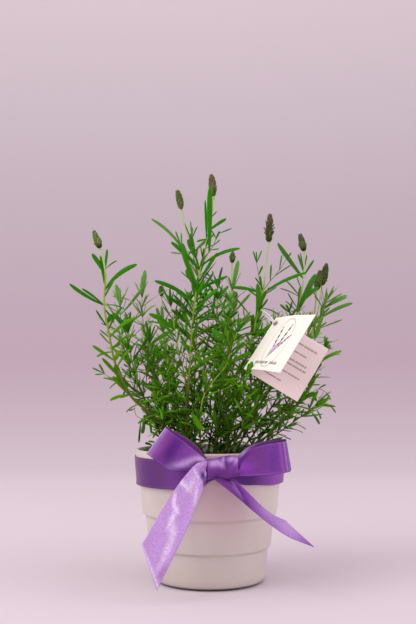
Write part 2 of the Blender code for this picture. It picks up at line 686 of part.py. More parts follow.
def build_tag():
    down, cover, back = tag_ways()
    outward = -(cover + back).normalized()
    tops = [TAG_CORNER + cover * TAG_WIDTH, TAG_CORNER + cover * 1.5, TAG_CORNER + outward * 0.2,
            TAG_CORNER + back * 1.5, TAG_CORNER + back * TAG_WIDTH]
    tag = strip_object("gift_tag", [(top, top + down * TAG_HEIGHT) for top in tops],
                       TAG_THICKNESS, "card")
    bm = bmesh.new()
    for way in (cover, back):
        centre = TAG_CORNER + down * TAG_HOLE_DROP + way * TAG_HOLE_INSET
        normal = down.cross(way).normalized()
        rings = [[bm.verts.new(centre + normal * reach + TAG_HOLE_RADIUS * (
            math.cos(a) * down + math.sin(a) * way))
            for a in (2 * math.pi * s / 10 for s in range(10))] for reach in (-1.0, 1.0)]
        bm.faces.new(rings[0])
        bm.faces.new(rings[1])
        for s in range(10):
            bm.faces.new((rings[0][s], rings[0][(s + 1) % 10],
                          rings[1][(s + 1) % 10], rings[1][s]))
    cut(tag, add_object("tag_holes", bm, None))


def build_string():
    curve = bpy.data.curves.new("tag_string", "CURVE")
    curve.dimensions = "3D"
    curve.bevel_depth = STRING_DIAMETER / 2 * MM
    curve.bevel_resolution = 2
    curve.render_resolution_u = 0
    curve.use_fill_caps = True
    points = smooth_curve(STRING_ROUTE, 3)
    spline = curve.splines.new("POLY")
    spline.points.add(len(points) - 1)
    for place, point in zip(spline.points, points):
        place.co = (*(point * MM), 1.0)
    made = bpy.data.objects.new("tag_string", curve)
    bpy.context.scene.collection.objects.link(made)
    curve.materials.append(material("tag_string", "string"))


# ---------------------------------------------------------------- the whole object

def reserve_room(room):
    """Enter the stems, spikes, bow, tag and string before any leaf grows."""
    for name, (foot, points, radius, _, spike_tip) in STEMS.items():
        path = stem_path(foot, points)
        room.add(path.points, radius * 1.3, name)
        if spike_tip:
            room.add([Vector(points[-1]), Vector(spike_tip)], SPIKE_RADIUS + 0.5, name + "_spike")
    room.add([Vector(KNOT_CENTRE) - Vector((9, 0, 0)), Vector(KNOT_CENTRE) + Vector((9, 0, 0))],
             12.0, "bow")
    for loop in (LOOP_LEFT, LOOP_RIGHT):
        middles = [(Vector(a) + Vector(b)) / 2 for a, b in loop]
        room.add(middles, 14.5, "bow")
    down, cover, back = tag_ways()
    for way in (cover, back):
        for k in range(9):
            top = TAG_CORNER + way * (TAG_WIDTH * k / 8)
            room.add([top, top + down * TAG_HEIGHT], 3.6, "tag")
    room.add([Vector(p) for p in STRING_ROUTE], 0.8, "string")


def main():
    for leftover in list(bpy.data.objects):
        bpy.data.objects.remove(leftover, do_unlink=True)
    build_pot()
    build_soil()
    room = Room()
    reserve_room(room)
    for number, (name, (_, points, _, _, spike_tip)) in enumerate(STEMS.items()):
        build_stem(name, room, Random(number))
        if spike_tip:
            base = Vector(points[-1])
            away = (Vector(spike_tip) - base).normalized()
            build_spike(name.replace("stem", "flower_spike"), base + away * SPIKE_GAP,
                        Vector(spike_tip))
    build_band()
    build_knot()
    ribbon_strip("bow_loop_left", LOOP_LEFT, 2)
    ribbon_strip("bow_loop_right", LOOP_RIGHT, 2)
    ribbon_strip("bow_tail_left", TAIL_LEFT, 2)
    ribbon_strip("bow_tail_right", TAIL_RIGHT, 2)
    build_tag()
    build_string()


main()
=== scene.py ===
"""Potted lavender in a stepped ceramic pot, with a satin bow, a folded gift tag and its string.

Tables and shapes are in millimetres and become metres when a mesh is made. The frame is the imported
part's: the origin is the centre of the pot's flat underside, +Z is up, and the bow faces -Y.
"""
import math
from random import Random

import bmesh
import bpy
import numpy as np
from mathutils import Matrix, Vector, noise


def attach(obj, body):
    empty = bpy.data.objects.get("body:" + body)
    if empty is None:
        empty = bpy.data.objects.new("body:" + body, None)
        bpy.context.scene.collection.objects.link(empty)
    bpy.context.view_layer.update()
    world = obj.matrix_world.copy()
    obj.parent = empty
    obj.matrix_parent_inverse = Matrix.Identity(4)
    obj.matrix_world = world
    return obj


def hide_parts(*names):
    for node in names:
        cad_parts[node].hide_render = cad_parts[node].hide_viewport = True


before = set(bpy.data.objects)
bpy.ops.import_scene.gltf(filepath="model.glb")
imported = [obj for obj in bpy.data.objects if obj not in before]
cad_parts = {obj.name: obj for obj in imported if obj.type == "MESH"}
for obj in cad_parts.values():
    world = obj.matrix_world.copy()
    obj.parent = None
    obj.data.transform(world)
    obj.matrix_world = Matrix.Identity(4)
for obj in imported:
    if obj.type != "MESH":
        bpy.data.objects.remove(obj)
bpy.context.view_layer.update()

MM = 0.001
TURN = 2 * math.pi
UP = np.array((0.0, 0.0, 1.0))

# Pot: height and radius at the lower and upper edge of each tier
POT_HEIGHT = 114.0
FOOT_RADIUS = 42.5
FOOT_CORNER = 7.0
WALL = 3.1
FLOOR = 4.0
LIP = 1.4
TIERS = ((FOOT_CORNER, 49.0, 28.8, 50.4), (30.6, 53.2, 56.8, 56.1),
         (58.6, 58.7, 84.8, 61.4), (86.6, 63.8, POT_HEIGHT - LIP, 65.5))
LEDGE_ROUNDING = 0.75
PROFILE_STEP = 0.42
POT_SIDES = 160

SOIL_TOP = 102.0
SOIL_CROWN = 1.2
SOIL_SIDES = 110
CRUMBS = 420
CRUMB_REACH = 57.0
CLEARANCE = 0.3

# Tag: two panels that share a fold. The corner is the fold's upper end, from which run the ways
# down the fold and across the cover and the back
TAG_WIDTH = 52.0
TAG_HEIGHT = 54.0
TAG_CARD = 0.4
TAG_CORNER = np.array((56.0, -46.0, 226.0))
TAG_FOLD_WAY = np.array((-28.5, -16.0, -44.0))
TAG_COVER_WAY = np.array((29.4, -44.0, -0.3))
TAG_BACK_WAY = np.array((44.0, -4.0, -27.0))
TAG_HOLE_DROP = 6.0
TAG_HOLE_INSET = 4.6
TAG_HOLE_RADIUS = 1.9

# Backdrop: colour along the sweep, from the floor at the pot to the top of the paper; it darkens
# and lightens along the sweep as painted light and shade
SWEEP = ((0.0, (0.67, 0.595, 0.647)), (0.034, (0.70, 0.622, 0.67)), (0.081, (0.725, 0.655, 0.692)),
         (0.134, (0.618, 0.535, 0.584)), (0.198, (0.556, 0.456, 0.510)),
         (0.267, (0.517, 0.409, 0.471)), (0.372, (0.516, 0.419, 0.477)),
         (0.521, (0.546, 0.478, 0.518)), (0.70, (0.602, 0.543, 0.578)),
         (0.911, (0.691, 0.624, 0.653)))
SWEEP_SCALE = 0.62

STRING_DIAMETER = 0.9
HITCH_RADIUS = 0.42
PLY_PITCH = 1.1
STRING_ROUTE = (
    (45.5, -24.5, 233.5), (47.5, -33.0, 231.5), (50.0, -42.0, 228.5), (51.5, -50.0, 225.5),
    (53.4, -54.0, 222.6), (55.4, -51.6, 221.2), (56.7, -48.1, 218.9), (57.8, -44.4, 217.8),
    (56.0, -38.0, 220.5), (52.0, -31.0, 225.5), (47.6, -25.0, 229.6),
)

# Each stem: foot on the soil, further points of its middle line, and radius at the foot. Where it
# flowers, it is a bare stalk between its last three points
STEMS = {
    "stem_left": ((-27, -16), ((-38, -25, 132), (-52, -30, 146.5), (-64, -32, 156.5),
        (-71, -33, 166), (-76, -33, 177), (-81.5, -32, 190), (-86.5, -30, 213), (-91, -30, 238),
        (-90, -30, 262), (-92, -30, 278), (-94.6, -30, 286.6)), 2.2),
    "stem_centre": ((-18, -24), ((-19, -26, 150), (-17, -26, 190), (-15, -26, 224), (-11, -26, 256),
        (-4, -22, 288), (0, -20, 310), (3.4, -18, 334.6)), 1.7),
    "stem_centre_left": ((-21, -33), ((-20, -38, 140), (-20, -40, 170), (-26, -40, 196),
        (-30, -40, 218), (-33, -40, 236)), 1.3),
    "stem_centre_slim": ((-12, -4), ((-14, 4, 150), (-12, 9, 220), (-11, 10, 268), (-15, 10, 296),
        (-22, 10, 310), (-25.6, 10, 328.6)), 1.3),
    "stem_front": ((-8, -33), ((-8, -40, 130), (-6, -44, 158), (4, -45, 174), (13, -45, 185),
        (18, -45, 199), (23, -45, 214)), 1.2),
    "stem_right_tall": ((10, -20), ((16, -22, 130), (26, -22, 170), (35, -21, 204), (42, -20, 233),
        (47, -20, 254), (49, -20, 274), (51.7, -20, 293.6)), 1.5),
    "stem_right": ((20, -10), ((32, -4, 130), (50, 2, 170), (68, 5, 204), (78, 5, 232),
        (82, 5, 250), (85, 5, 270), (85.5, 5, 289.2)), 1.5),
    "stem_right_back": ((24, 14), ((44, 28, 130), (68, 42, 165), (88, 50, 200), (99, 52, 225),
        (104, 52, 245), (107, 52, 263.2)), 1.4),
    "stem_right_inner": ((14, 22), ((32, 30, 130), (56, 34, 165), (80, 34, 200), (94, 34, 222),
        (98, 34, 240), (99.5, 34, 256.6)), 1.3),
    "stem_right_edge": ((29, 3), ((50, 9, 128), (74, 15, 160), (91, 20, 195), (99, 24, 222),
        (106, 25, 244)), 1.3),
    "stem_right_mid": ((31, -6), ((48, -2, 122), (72, 1, 146), (88, 4, 168), (97, 6, 190)), 1.2),
    "stem_right_low": ((26, -18), ((44, -20, 118), (62, -16, 130), (80, -8, 142), (93, 0, 151)),
        1.1),
    "stem_front_right": ((12, -32), ((22, -38, 124), (35, -40, 144), (48, -36, 162), (58, -31, 180),
        (64, -27, 197)), 1.2),
    "stem_front_low": ((20, -27), ((37, -35, 118), (54, -40, 132), (67, -40, 144), (77, -37, 156)),
        1.1),
    "stem_middle": ((2, -25), ((6, -30, 130), (10, -31, 155), (15, -31, 178), (17, -30, 198)), 1.2),
    "stem_heart": ((4, -8), ((6, -5, 140), (7, -2, 190), (6, 0, 228), (7, 0, 256)), 1.4),
    "stem_heart_back": ((8, 5), ((12, 15, 140), (17, 24, 190), (20, 29, 230), (21, 30, 257)), 1.3),
    "stem_back_tall": ((5, 16), ((10, 36, 140), (16, 50, 190), (19, 58, 225), (20, 60, 248),
        (21, 60, 268), (21.6, 60, 285.8)), 1.3),
    "stem_back": ((-2, 27), ((4, 48, 140), (14, 64, 180), (20, 70, 210), (23, 71, 230),
        (23.7, 71, 245.2)), 1.3),
    "stem_back_right": ((13, 33), ((28, 48, 130), (46, 60, 165), (58, 68, 198), (63, 70, 224)),
        1.3),
    "stem_back_left": ((-12, 18), ((-24, 36, 130), (-36, 50, 170), (-43, 58, 205), (-45, 60, 226),
        (-45, 60, 242), (-46, 60, 253.2)), 1.3),
    "stem_back_outer": ((-14, 30), ((-30, 50, 128), (-46, 66, 158), (-56, 76, 188), (-60, 80, 212)),
        1.2),
    "stem_left_back": ((-21, 8), ((-36, 24, 130), (-49, 38, 170), (-58, 44, 205), (-63, 45, 230),
        (-64, 45, 252)), 1.3),
    "stem_left_far": ((-29, 2), ((-46, 14, 130), (-64, 28, 165), (-78, 37, 198), (-83, 40, 222),
        (-84, 40, 243)), 1.3),
    "stem_left_mid": ((-33, -7), ((-43, -9, 125), (-56, -8, 155), (-66, -6, 180), (-71, -6, 202),
        (-72, -6, 216)), 1.2),
    "stem_left_inner": ((-22, -7), ((-30, -7, 128), (-40, -9, 152), (-48, -10, 174),
        (-52, -10, 192), (-53, -10, 206)), 1.2),
}

# Leaves set one by one: height on the stem, heading round +Z from +X and rise in degrees, length,
# width, and how far the leaf bends down along its length in degrees
LONG_LEAVES = {
    "stem_left": ((249, 5, 62, 37, 4.2, 44), (263, 175, 62, 22, 4.0, 10),
        (236, 165, 24, 38, 3.4, -14), (209, -10, 55, 30, 3.5, 38), (188, 185, 38, 23, 2.9, 6),
        (173, 190, 48, 25, 3.2, 2), (160, 183, 49, 23, 4.2, 4), (253, 194, 81, 30, 2.7, 30),
        (268, 0, 85, 18, 2.4, 6), (268, 0, 51, 13, 1.3, 28), (264, 138, 78, 21, 1.3, 10),
        (242, 329, 61, 18, 2.2, 10), (236, 201, 41, 24, 2.4, 12), (234, 341, -43, 15, 2.2, 20),
        (237, 348, 10, 20, 1.3, 45), (217, 209, 49, 18, 1.9, -8), (203, 211, 41, 15, 1.7, -5),
        (207, 180, 41, 11, 1.5, 5), (197, 170, 2, 15, 2.6, 36), (197, 335, 68, 29, 2.1, 75),
        (161, 182, 2, 18, 3.0, 34), (222, 5, 66, 9, 4.6, 10), (200, 350, 40, 9, 3.4, 20),
        (190, 340, 62, 10, 4.4, -8), (176, 195, 66, 11, 4.2, 8), (214, 350, 74, 24, 2.4, 30),
        (184, 10, 66, 20, 2.6, 24), (152, 175, -6, 14, 1.2, 50)),
    "stem_centre": ((271, 354, 44, 38, 3.4, 40), (268, 200, 52, 36, 4.0, 20),
        (238, 206, 42, 42, 4.0, 34), (232, -15, 52, 30, 4.2, 20), (207, 200, 50, 28, 4.2, 18),
        (178, -10, 42, 30, 4.2, 20), (255, 355, 60, 33, 3.0, 4), (246, 0, 42, 32, 3.0, 26),
        (240, 350, 48, 21, 2.4, 14), (250, 172, 68, 20, 2.6, 10), (262, 10, 76, 17, 3.4, 0),
        (232, 187, 64, 22, 2.8, 14), (222, 350, 64, 22, 2.8, 10), (214, 190, 70, 20, 3.0, 8),
        (203, 5, 72, 19, 3.4, 0), (194, 172, 68, 20, 3.0, 8), (184, 350, 60, 20, 2.6, 12),
        (294, 240, 86, 37, 2.1, 0), (304, 355, 40, 18.5, 3.3, 12), (309, 0, 85, 14, 1.3, 4),
        (314, 0, 49, 8, 1.2, 0), (285, 326, 69, 18, 2.1, 0), (285, 0, 37, 8, 1.1, 20),
        (313, 163, 49, 8, 1.4, 0), (296, 197, -5, 10, 2.1, 20), (269, 346, 38, 12, 1.2, 6),
        (268, 211, 72, 22, 1.9, 8), (250, 217, 67, 36, 4.2, 4), (276, 0, 84, 12, 1.6, 4),
        (241, 335, 62, 18, 3.2, 4), (241, 338, 49, 28, 2.6, -6), (262, 339, -11, 31, 1.7, 50),
        (239, 210, 30, 20, 2.6, 8), (243, 323, 80, 19, 2.6, 0), (243, 227, 75, 14, 2.6, 0),
        (202, 243, 68, 24, 4.3, -6), (227, 204, 49, 26, 2.6, 6), (223, 347, 37, 34, 2.2, 16),
        (220, 340, 37, 20, 1.9, 12), (232, 344, 45, 19, 2.1, 2), (158, 202, 17, 32, 2.2, 60),
        (189, 342, 27, 33, 2.1, 8)),
    "stem_centre_left": ((165, 350, 40, 22, 3.4, 30), (214, 175, 48, 27, 4.2, 30),
        (190, 20, 52, 24, 4.0, 20), (209, 195, 48, 22, 3.0, 14)),
    "stem_centre_slim": ((290, 20, 50, 26, 3.6, 16), (287, 231, 66, 20, 4.0, -4),
        (284, 190, 64, 19, 4.6, -6), (294, 141, 66, 28, 1.4, 6), (297, 107, 73, 22, 1.5, 0),
        (300, 71, 78, 13, 1.4, 0), (300, 29, 73, 15, 1.4, 14), (286, 168, 29, 17, 1.4, 26),
        (255, 130, 63, 26, 2.0, 4), (254, 165, 45, 22, 1.3, 5)),
    "stem_front": ((200, 150, 52, 26, 3.8, 26), (186, 10, 34, 24, 4.0, 18),
        (215, 180, 75, 20, 1.9, 50), (213, 12, 28, 15, 1.7, 10), (210, 11, 21, 23, 1.9, 24),
        (192, 346, 38, 26, 1.9, 6)),
    "stem_right_tall": ((249, -12, 36, 42, 3.6, 22), (247, 160, 26, 30, 3.6, 26),
        (216, 355, 72, 39, 5.0, -28), (205, 5, 46, 27, 4.2, 22), (247, 232, 76, 16, 2.1, 0),
        (243, 187, 38, 15, 1.9, 5), (245, 20, 34, 17, 1.4, 4), (236, 354, 6, 19, 1.4, 50),
        (220, 318, 56, 13, 2.6, 0)),
    "stem_right": ((264, 176, 54, 40, 4.4, -2), (234, 338, 66, 38, 5.6, 6),
        (240, 20, 50, 26, 4.2, 18), (268, 180, 75, 18, 2.2, 4), (270, 123, 76, 20, 1.3, 0),
        (271, 28, 78, 15, 1.3, 0), (267, 349, 59, 17, 2.2, 4), (269, 65, 78, 11, 1.3, 0),
        (247, 204, 54, 21, 1.8, 16), (253, 163, 68, 14, 1.3, -4), (246, 192, 36, 21, 1.3, 26),
        (235, 169, 57, 18, 1.4, -4), (233, 188, 48, 15, 1.4, 10), (238, 74, 62, 22, 3.6, 0)),
    "stem_right_edge": ((230, -8, 36, 33, 3.6, 22), (236, 15, 40, 28, 3.8, 20),
        (237, 320, 72, 12, 2.9, 0), (244, 22, 59, 20, 1.5, 0), (246, 0, 33, 19, 1.7, 4)),
    "stem_right_mid": ((186, 10, 44, 27, 3.6, 30),),
    "stem_right_low": ((147, 20, 12, 24, 3.0, -40),),
    "stem_middle": ((122, 341, 33, 25, 2.2, 6), (130, 236, 76, 19, 3.6, 0)),
    "stem_heart_back": ((255, 40, 76, 30, 4.4, 4),),
    "stem_left_back": ((250, 60, 80, 27, 4.6, 4),),
    "stem_left_far": ((241, 120, 70, 24, 4.4, 10),),
    "stem_left_mid": ((214, 200, 60, 24, 4.0, 16),),
    "stem_left_inner": ((204, 10, 46, 26, 4.2, 26), (191, 352, 57, 15, 2.6, 24),
        (195, 0, 74, 13, 2.1, 0)),
}

# Side shoots set one by one: height on the stem, further points, radius, and the leaves on it as
# share along it, heading, rise, length, width and bend
SIDE_SHOOTS = {
    "stem_left": (
        (162, ((-75, -34, 167), (-83, -34, 174), (-90.5, -34, 179.5)), 0.5,
         ((1.0, 180, 28, 11, 1.7, 4), (0.95, 180, 60, 10, 1.9, 0), (0.97, 178, -4, 8, 1.4, 0),
         (0.6, 150, 24, 12, 1.5, 20))),
        (155, ((-64, -33, 149), (-62, -33, 143), (-56, -31, 140.5)), 0.35,
         ((0.3, 190, -20, 5, 1.6, 0), (0.9, 60, -10, 8, 3.0, 10))),
        (140, ((-50, -30, 140.5), (-55.5, -31, 139), (-59, -31, 137.5)), 0.5,
         ((1.0, 182, -85, 17, 1.8, 4), (0.75, 185, -78, 11, 3.4, 10), (0.5, 10, -70, 12, 2.2, 20),
         (0.2, 200, 24, 10, 3.6, 20), (0.4, 160, -24, 9, 3.6, 10), (0.3, 250, 50, 8, 3.2, 30),
         (0.5, 300, -20, 9, 3.2, 0), (0.15, 320, 20, 10, 3.0, 30))),
        (122, ((-44, -24, 121), (-53, -24, 116)), 0.4, ((1.0, 180, -30, 7, 2.2, 20),
         (0.8, 220, 30, 8, 2.2, 30), (0.6, 160, 20, 8, 2.0, 20), (0.4, 240, -20, 8, 2.2, 20),
         (0.9, 90, -10, 7, 2.0, 0))),
    ),
    "stem_centre": (
        (269, ((-4.5, -29, 278), (-1, -31, 284), (2.7, -31, 289), (5.3, -30, 295.4),
         (7.9, -30, 300.4)), 0.6, ((0.47, 285, 88, 56, 4.9, 0), (1.0, 0, 24, 12, 1.5, 4),
         (0.5, 0, 15, 8, 1.4, 10), (0.85, 190, 60, 8, 1.4, 0), (0.8, 0, 70, 9, 1.8, 10),
         (0.65, 350, 44, 8, 1.4, 10))),
    ),
    "stem_centre_slim": (
        (266, ((-15, 3, 274), (-20, -4, 282), (-25, -8, 291)), 0.7, ((0.92, 180, 62, 41, 2.9, 34),
         (1.0, 180, 70, 16, 1.8, 0), (1.0, 170, 88, 14, 1.6, 0), (0.8, 182, 12, 13, 1.5, 10),
         (0.6, 170, 70, 17, 3.6, 0), (0.7, 0, 60, 12, 2.0, 10))),
    ),
    "stem_front": (
        (158, ((4, -50, 163), (18, -60, 169), (31, -68, 176)), 0.5, ((1.0, 300, 62, 14, 3.4, -4),
         (0.97, 320, 78, 12, 2.6, 0), (0.7, 150, 40, 10, 2.0, 20), (0.4, 200, -10, 12, 2.0, 20),
         (0.8, 330, -20, 12, 1.8, 20))),
        (148, ((-12, -50, 149), (-15, -59, 147)), 0.5, ((1.0, 325, -50, 17, 5.0, 6),
         (0.7, 200, 20, 12, 2.0, 30))),
    ),
    "stem_right_tall": (
        (247, ((42.8, -20, 264), (41, -20, 276)), 0.5, ((1.0, 180, 74, 11, 1.3, 0),
         (0.97, 120, 86, 11, 1.3, 0), (1.0, 0, 69, 12, 1.4, 2), (0.6, 350, 68, 9, 1.9, 4),
         (0.25, 190, 60, 9, 1.6, 8))),
        (250, ((54, -20, 261.4), (61, -20, 269.8), (67, -20, 279.5)), 0.45,
         ((0.3, 20, 86, 15, 1.7, 6), (0.66, 10, 80, 14, 1.3, 0), (0.45, 355, 38, 19, 1.2, 8),
         (1.0, 0, 52, 7, 1.5, 0))),
    ),
    "stem_right_mid": (
        (158, ((88, 5, 160), (97, 7, 166), (104, 7, 163)), 0.45, ((1.0, 0, -50, 8, 1.5, 20),
         (0.7, 10, 40, 8, 1.5, 20), (0.45, 350, -60, 9, 1.6, 20), (0.3, 170, 60, 9, 1.6, 0))),
    ),
    "stem_right_low": (
        (143, ((96, 1, 148), (103, 3, 153), (107, 3, 151)), 0.45, ((1.0, 0, -40, 8, 1.5, 20),
         (0.75, 20, 60, 7, 1.5, 10), (0.5, 350, -50, 9, 1.6, 30), (0.3, 170, 70, 8, 1.6, 0))),
    ),
}

# Bow: each strip is a list of stations, and a station is the two edges of the ribbon there
LOOP_LEFT = (
    ((-2.6, -74.5, 109.6), (-5.5, -75.0, 103.0)), ((-12.5, -77.2, 118.2), (-18.5, -78.0, 101.2)),
    ((-23.0, -79.2, 126.6), (-32.6, -80.2, 102.4)), ((-34.0, -78.5, 134.6), (-48.4, -79.0, 113.6)),
    ((-35.4, -76.2, 135.6), (-50.2, -76.8, 114.6)), ((-34.0, -73.6, 135.3), (-48.6, -74.2, 114.0)),
    ((-20.0, -70.8, 128.2), (-29.0, -72.6, 105.5)), ((-10.5, -70.0, 120.6), (-15.0, -71.0, 103.0)),
    ((-2.8, -69.6, 111.2), (-5.6, -70.6, 103.5)),
)
LOOP_RIGHT = (
    ((21.8, -76.4, 108.2), (22.6, -76.8, 97.4)), ((26.8, -77.6, 114.0), (27.5, -77.6, 97.2)),
    ((33.0, -77.0, 118.8), (35.0, -77.6, 97.4)), ((44.0, -74.6, 122.2), (47.0, -75.8, 97.8)),
    ((59.6, -67.4, 124.0), (62.6, -68.4, 99.4)), ((61.7, -63.9, 124.9), (65.4, -64.6, 100.6)),
    ((60.4, -60.8, 125.6), (64.0, -61.6, 101.2)), ((46.0, -66.2, 124.6), (47.0, -67.6, 99.8)),
    ((33.0, -69.6, 121.0), (34.0, -70.4, 99.6)), ((22.6, -70.8, 113.4), (23.0, -71.6, 100.5)),
)
TAIL_LEFT = (
    ((-2.4, -79.0, 109.6), (-3.2, -78.6, 98.6)), ((-10.6, -82.0, 107.6), (-4.0, -79.8, 91.8)),
    ((-20.0, -85.6, 98.2), (-6.4, -81.0, 85.0)), ((-29.0, -88.5, 86.0), (-10.5, -83.0, 75.5)),
    ((-39.0, -90.5, 70.0), (-18.0, -86.5, 57.5)), ((-49.0, -92.0, 53.0), (-27.5, -90.0, 38.0)),
    ((-53.0, -92.6, 46.6), (-41.0, -94.0, 11.5)),
)
TAIL_RIGHT = (
    ((19.4, -73.2, 95.2), (0.8, -73.6, 96.4)), ((25.0, -72.0, 89.2), (11.8, -76.6, 88.4)),
    ((33.7, -70.0, 80.4), (22.4, -81.0, 80.4)), ((42.4, -69.0, 71.8), (34.5, -86.0, 70.6)),
    ((51.5, -68.0, 65.2), (47.5, -88.8, 60.6)), ((60.0, -68.5, 61.4), (62.0, -89.4, 51.4)),
    ((60.9, -69.0, 60.7), (81.2, -88.0, 43.7)),
)
RIBBON_WIDTH = 24.0
RIBBON_THICKNESS = 0.4
FLOAT_PITCH = 0.42
WEFT_PITCH = 0.9
BAND_FOOT = 84.8
BAND_TILT = 1.0
BAND_KNOT_TURN = 278.0
# Knot: how far along X, then the height of its lower and upper edge there
KNOT_OUTLINE = ((-2.2, 93.9, 109.8), (1.0, 95.6, 110.4), (5.0, 97.0, 111.0), (9.4, 95.6, 112.0),
                (12.0, 94.8, 112.6), (15.3, 94.0, 113.2), (19.0, 96.4, 113.0), (22.6, 97.3, 111.6))
KNOT_MIDDLE = -72.9
KNOT_HALF_DEPTH = 5.2
KNOT_THICKNESS = 0.5

# Linear colours
WHITE = np.ones(3)
# Leaf greens: the deep one is painted shade low in the plant, the inner one painted light inside it
SHADED_LOW_LEAF = np.array((0.030, 0.095, 0.001))
LIGHTENED_INNER_LEAF = np.array((0.062, 0.215, 0.002))
FRESH_LEAF = np.array((0.024, 0.160, 0.001))
PALE_LEAF = np.array((0.210, 0.410, 0.095))
LEAF_BACK = np.array((0.140, 0.330, 0.030))
GREEN_STEM = np.array((0.260, 0.380, 0.035))
SHADED_STEM = np.array((0.060, 0.085, 0.014))
WOODY_STEM = np.array((0.110, 0.075, 0.022))
STALK = np.array((0.400, 0.520, 0.200))
BUD_GREEN = np.array((0.036, 0.095, 0.006))
BUD_PALE = np.array((0.440, 0.540, 0.200))
BUD_BROWN = np.array((0.090, 0.050, 0.032))
# Satin: violet is the ribbon's own colour; the deep, dusky and rosy violets and the lilacs serve
# mostly as painted shade and painted highlights
VIOLET = np.array((0.160, 0.028, 0.270))
DEEP_VIOLET = np.array((0.056, 0.003, 0.160))
DUSKY_VIOLET = np.array((0.105, 0.022, 0.140))
ROSY_VIOLET = np.array((0.230, 0.045, 0.260))
LILAC = np.array((0.540, 0.320, 0.690))
PALE_LILAC = np.array((0.800, 0.660, 0.880))
CREAM_CARD = np.array((0.880, 0.860, 0.770))
PINK_CARD = np.array((0.775, 0.650, 0.625))
INK = np.array((0.110, 0.060, 0.120))
PENCIL = np.array((0.330, 0.310, 0.280))
SPRIG_LEAF = np.array((0.620, 0.450, 0.620))


# ---------------------------------------------------------------- objects and camera

def add_object(name, data):
    made = bpy.data.objects.new(name, data)
    bpy.context.scene.collection.objects.link(made)
    return made


def build_camera():
    data = bpy.data.cameras.new("camera")
    data.lens = 52.0
    data.sensor_width = 36.0
    data.clip_start = 0.01
    camera = add_object("camera", data)
    camera.location = (-0.0016, -0.803, 0.1713)
    camera.rotation_euler = (math.radians(94.5), 0.0, 0.0)
    bpy.context.scene.camera = camera


# ---------------------------------------------------------------- shaders

class Value:
    """A shader output that takes part in sums as a Python number does."""

    def __init__(self, finish, socket):
        self.finish, self.socket = finish, socket

    def maths(self, operation, *terms):
        return self.finish.node("ShaderNodeMath", {"operation": operation},
                                dict(enumerate(terms)))

    def __add__(self, other):
        return self.maths("ADD", self, other)

    __radd__ = __add__

    def __sub__(self, other):
        return self.maths("SUBTRACT", self, other)

    def __rsub__(self, other):
        return self.maths("SUBTRACT", other, self)

    def __mul__(self, other):
        return self.maths("MULTIPLY", self, other)

    __rmul__ = __mul__

    def __truediv__(self, other):
        return self.maths("DIVIDE", self, other)

    def sine(self):
        return self.maths("SINE", self)

    def size(self):
        return self.maths("ABSOLUTE", self)

    def smooth_step(self, low, high):
        return self.finish.node("ShaderNodeMapRange", {"interpolation_type": "SMOOTHSTEP"},
                                {"Value": self, "From Min": low, "From Max": high})


class Finish:
    """A procedural material. Constants go straight onto the shader's own sockets."""

    def __init__(self, name, **constants):
        self.material = bpy.data.materials.new(name)
        self.material.use_nodes = True
        self.tree = self.material.node_tree
        self.shader = self.tree.nodes["Principled BSDF"]
        for socket, value in constants.items():
            self.shader.inputs[socket.replace("_", " ")].default_value = value

    def node(self, kind, settings=None, inputs=None, output=0):
        """One node: its settings come first, then each input's value or link."""
        made = self.tree.nodes.new(kind)
        for name, value in (settings or {}).items():
            if name == "color_ramp":
                stops = made.color_ramp.elements
                while len(stops) < len(value):
                    stops.new(0.5)
                for stop, (place, colour) in zip(stops, value):
                    stop.position, stop.color = place, (*colour, 1.0)
            else:
                setattr(made, name, value)
        for key, value in (inputs or {}).items():
            if isinstance(value, Value):
                self.tree.links.new(value.socket, made.inputs[key])
            else:
                made.inputs[key].default_value = value
        return Value(self, made.outputs[output])

    def place(self):
        return self.node("ShaderNodeTexCoord", output="Object")

    def along(self, axis, vector=None):
        return self.node("ShaderNodeSeparateXYZ", inputs={0: vector or self.place()}, output=axis)

    def attribute(self, name, output="Color"):
        return self.node("ShaderNodeAttribute", {"attribute_name": name}, output=output)

    def noise(self, scale, detail=3.0):
        """Grain between 0 and 1, scale in cells to the metre."""
        return self.node("ShaderNodeTexNoise", inputs={
            "Vector": self.place(), "Scale": scale, "Detail": detail})

    def mix(self, share, first, second):
        """A mix of two colours; one given as numbers is solid."""
        first, second = (c if isinstance(c, Value) else (*c, 1.0) for c in (first, second))
        return self.node("ShaderNodeMix", {"data_type": "RGBA"},
                         {"Factor": share, 6: first, 7: second}, output=2)

    def lit(self, colour, amount):
        """The colour made lighter or darker by a number."""
        return self.node("ShaderNodeVectorMath", {"operation": "SCALE"},
                         {0: colour, "Scale": amount})

    def bump(self, height, depth, strength):
        return self.node("ShaderNodeBump", inputs={
            "Height": height, "Distance": depth, "Strength": strength})

    def surface(self, **sockets):
        for name, value in sockets.items():
            self.tree.links.new(value.socket, self.shader.inputs[name.replace("_", " ")])
        return self.material


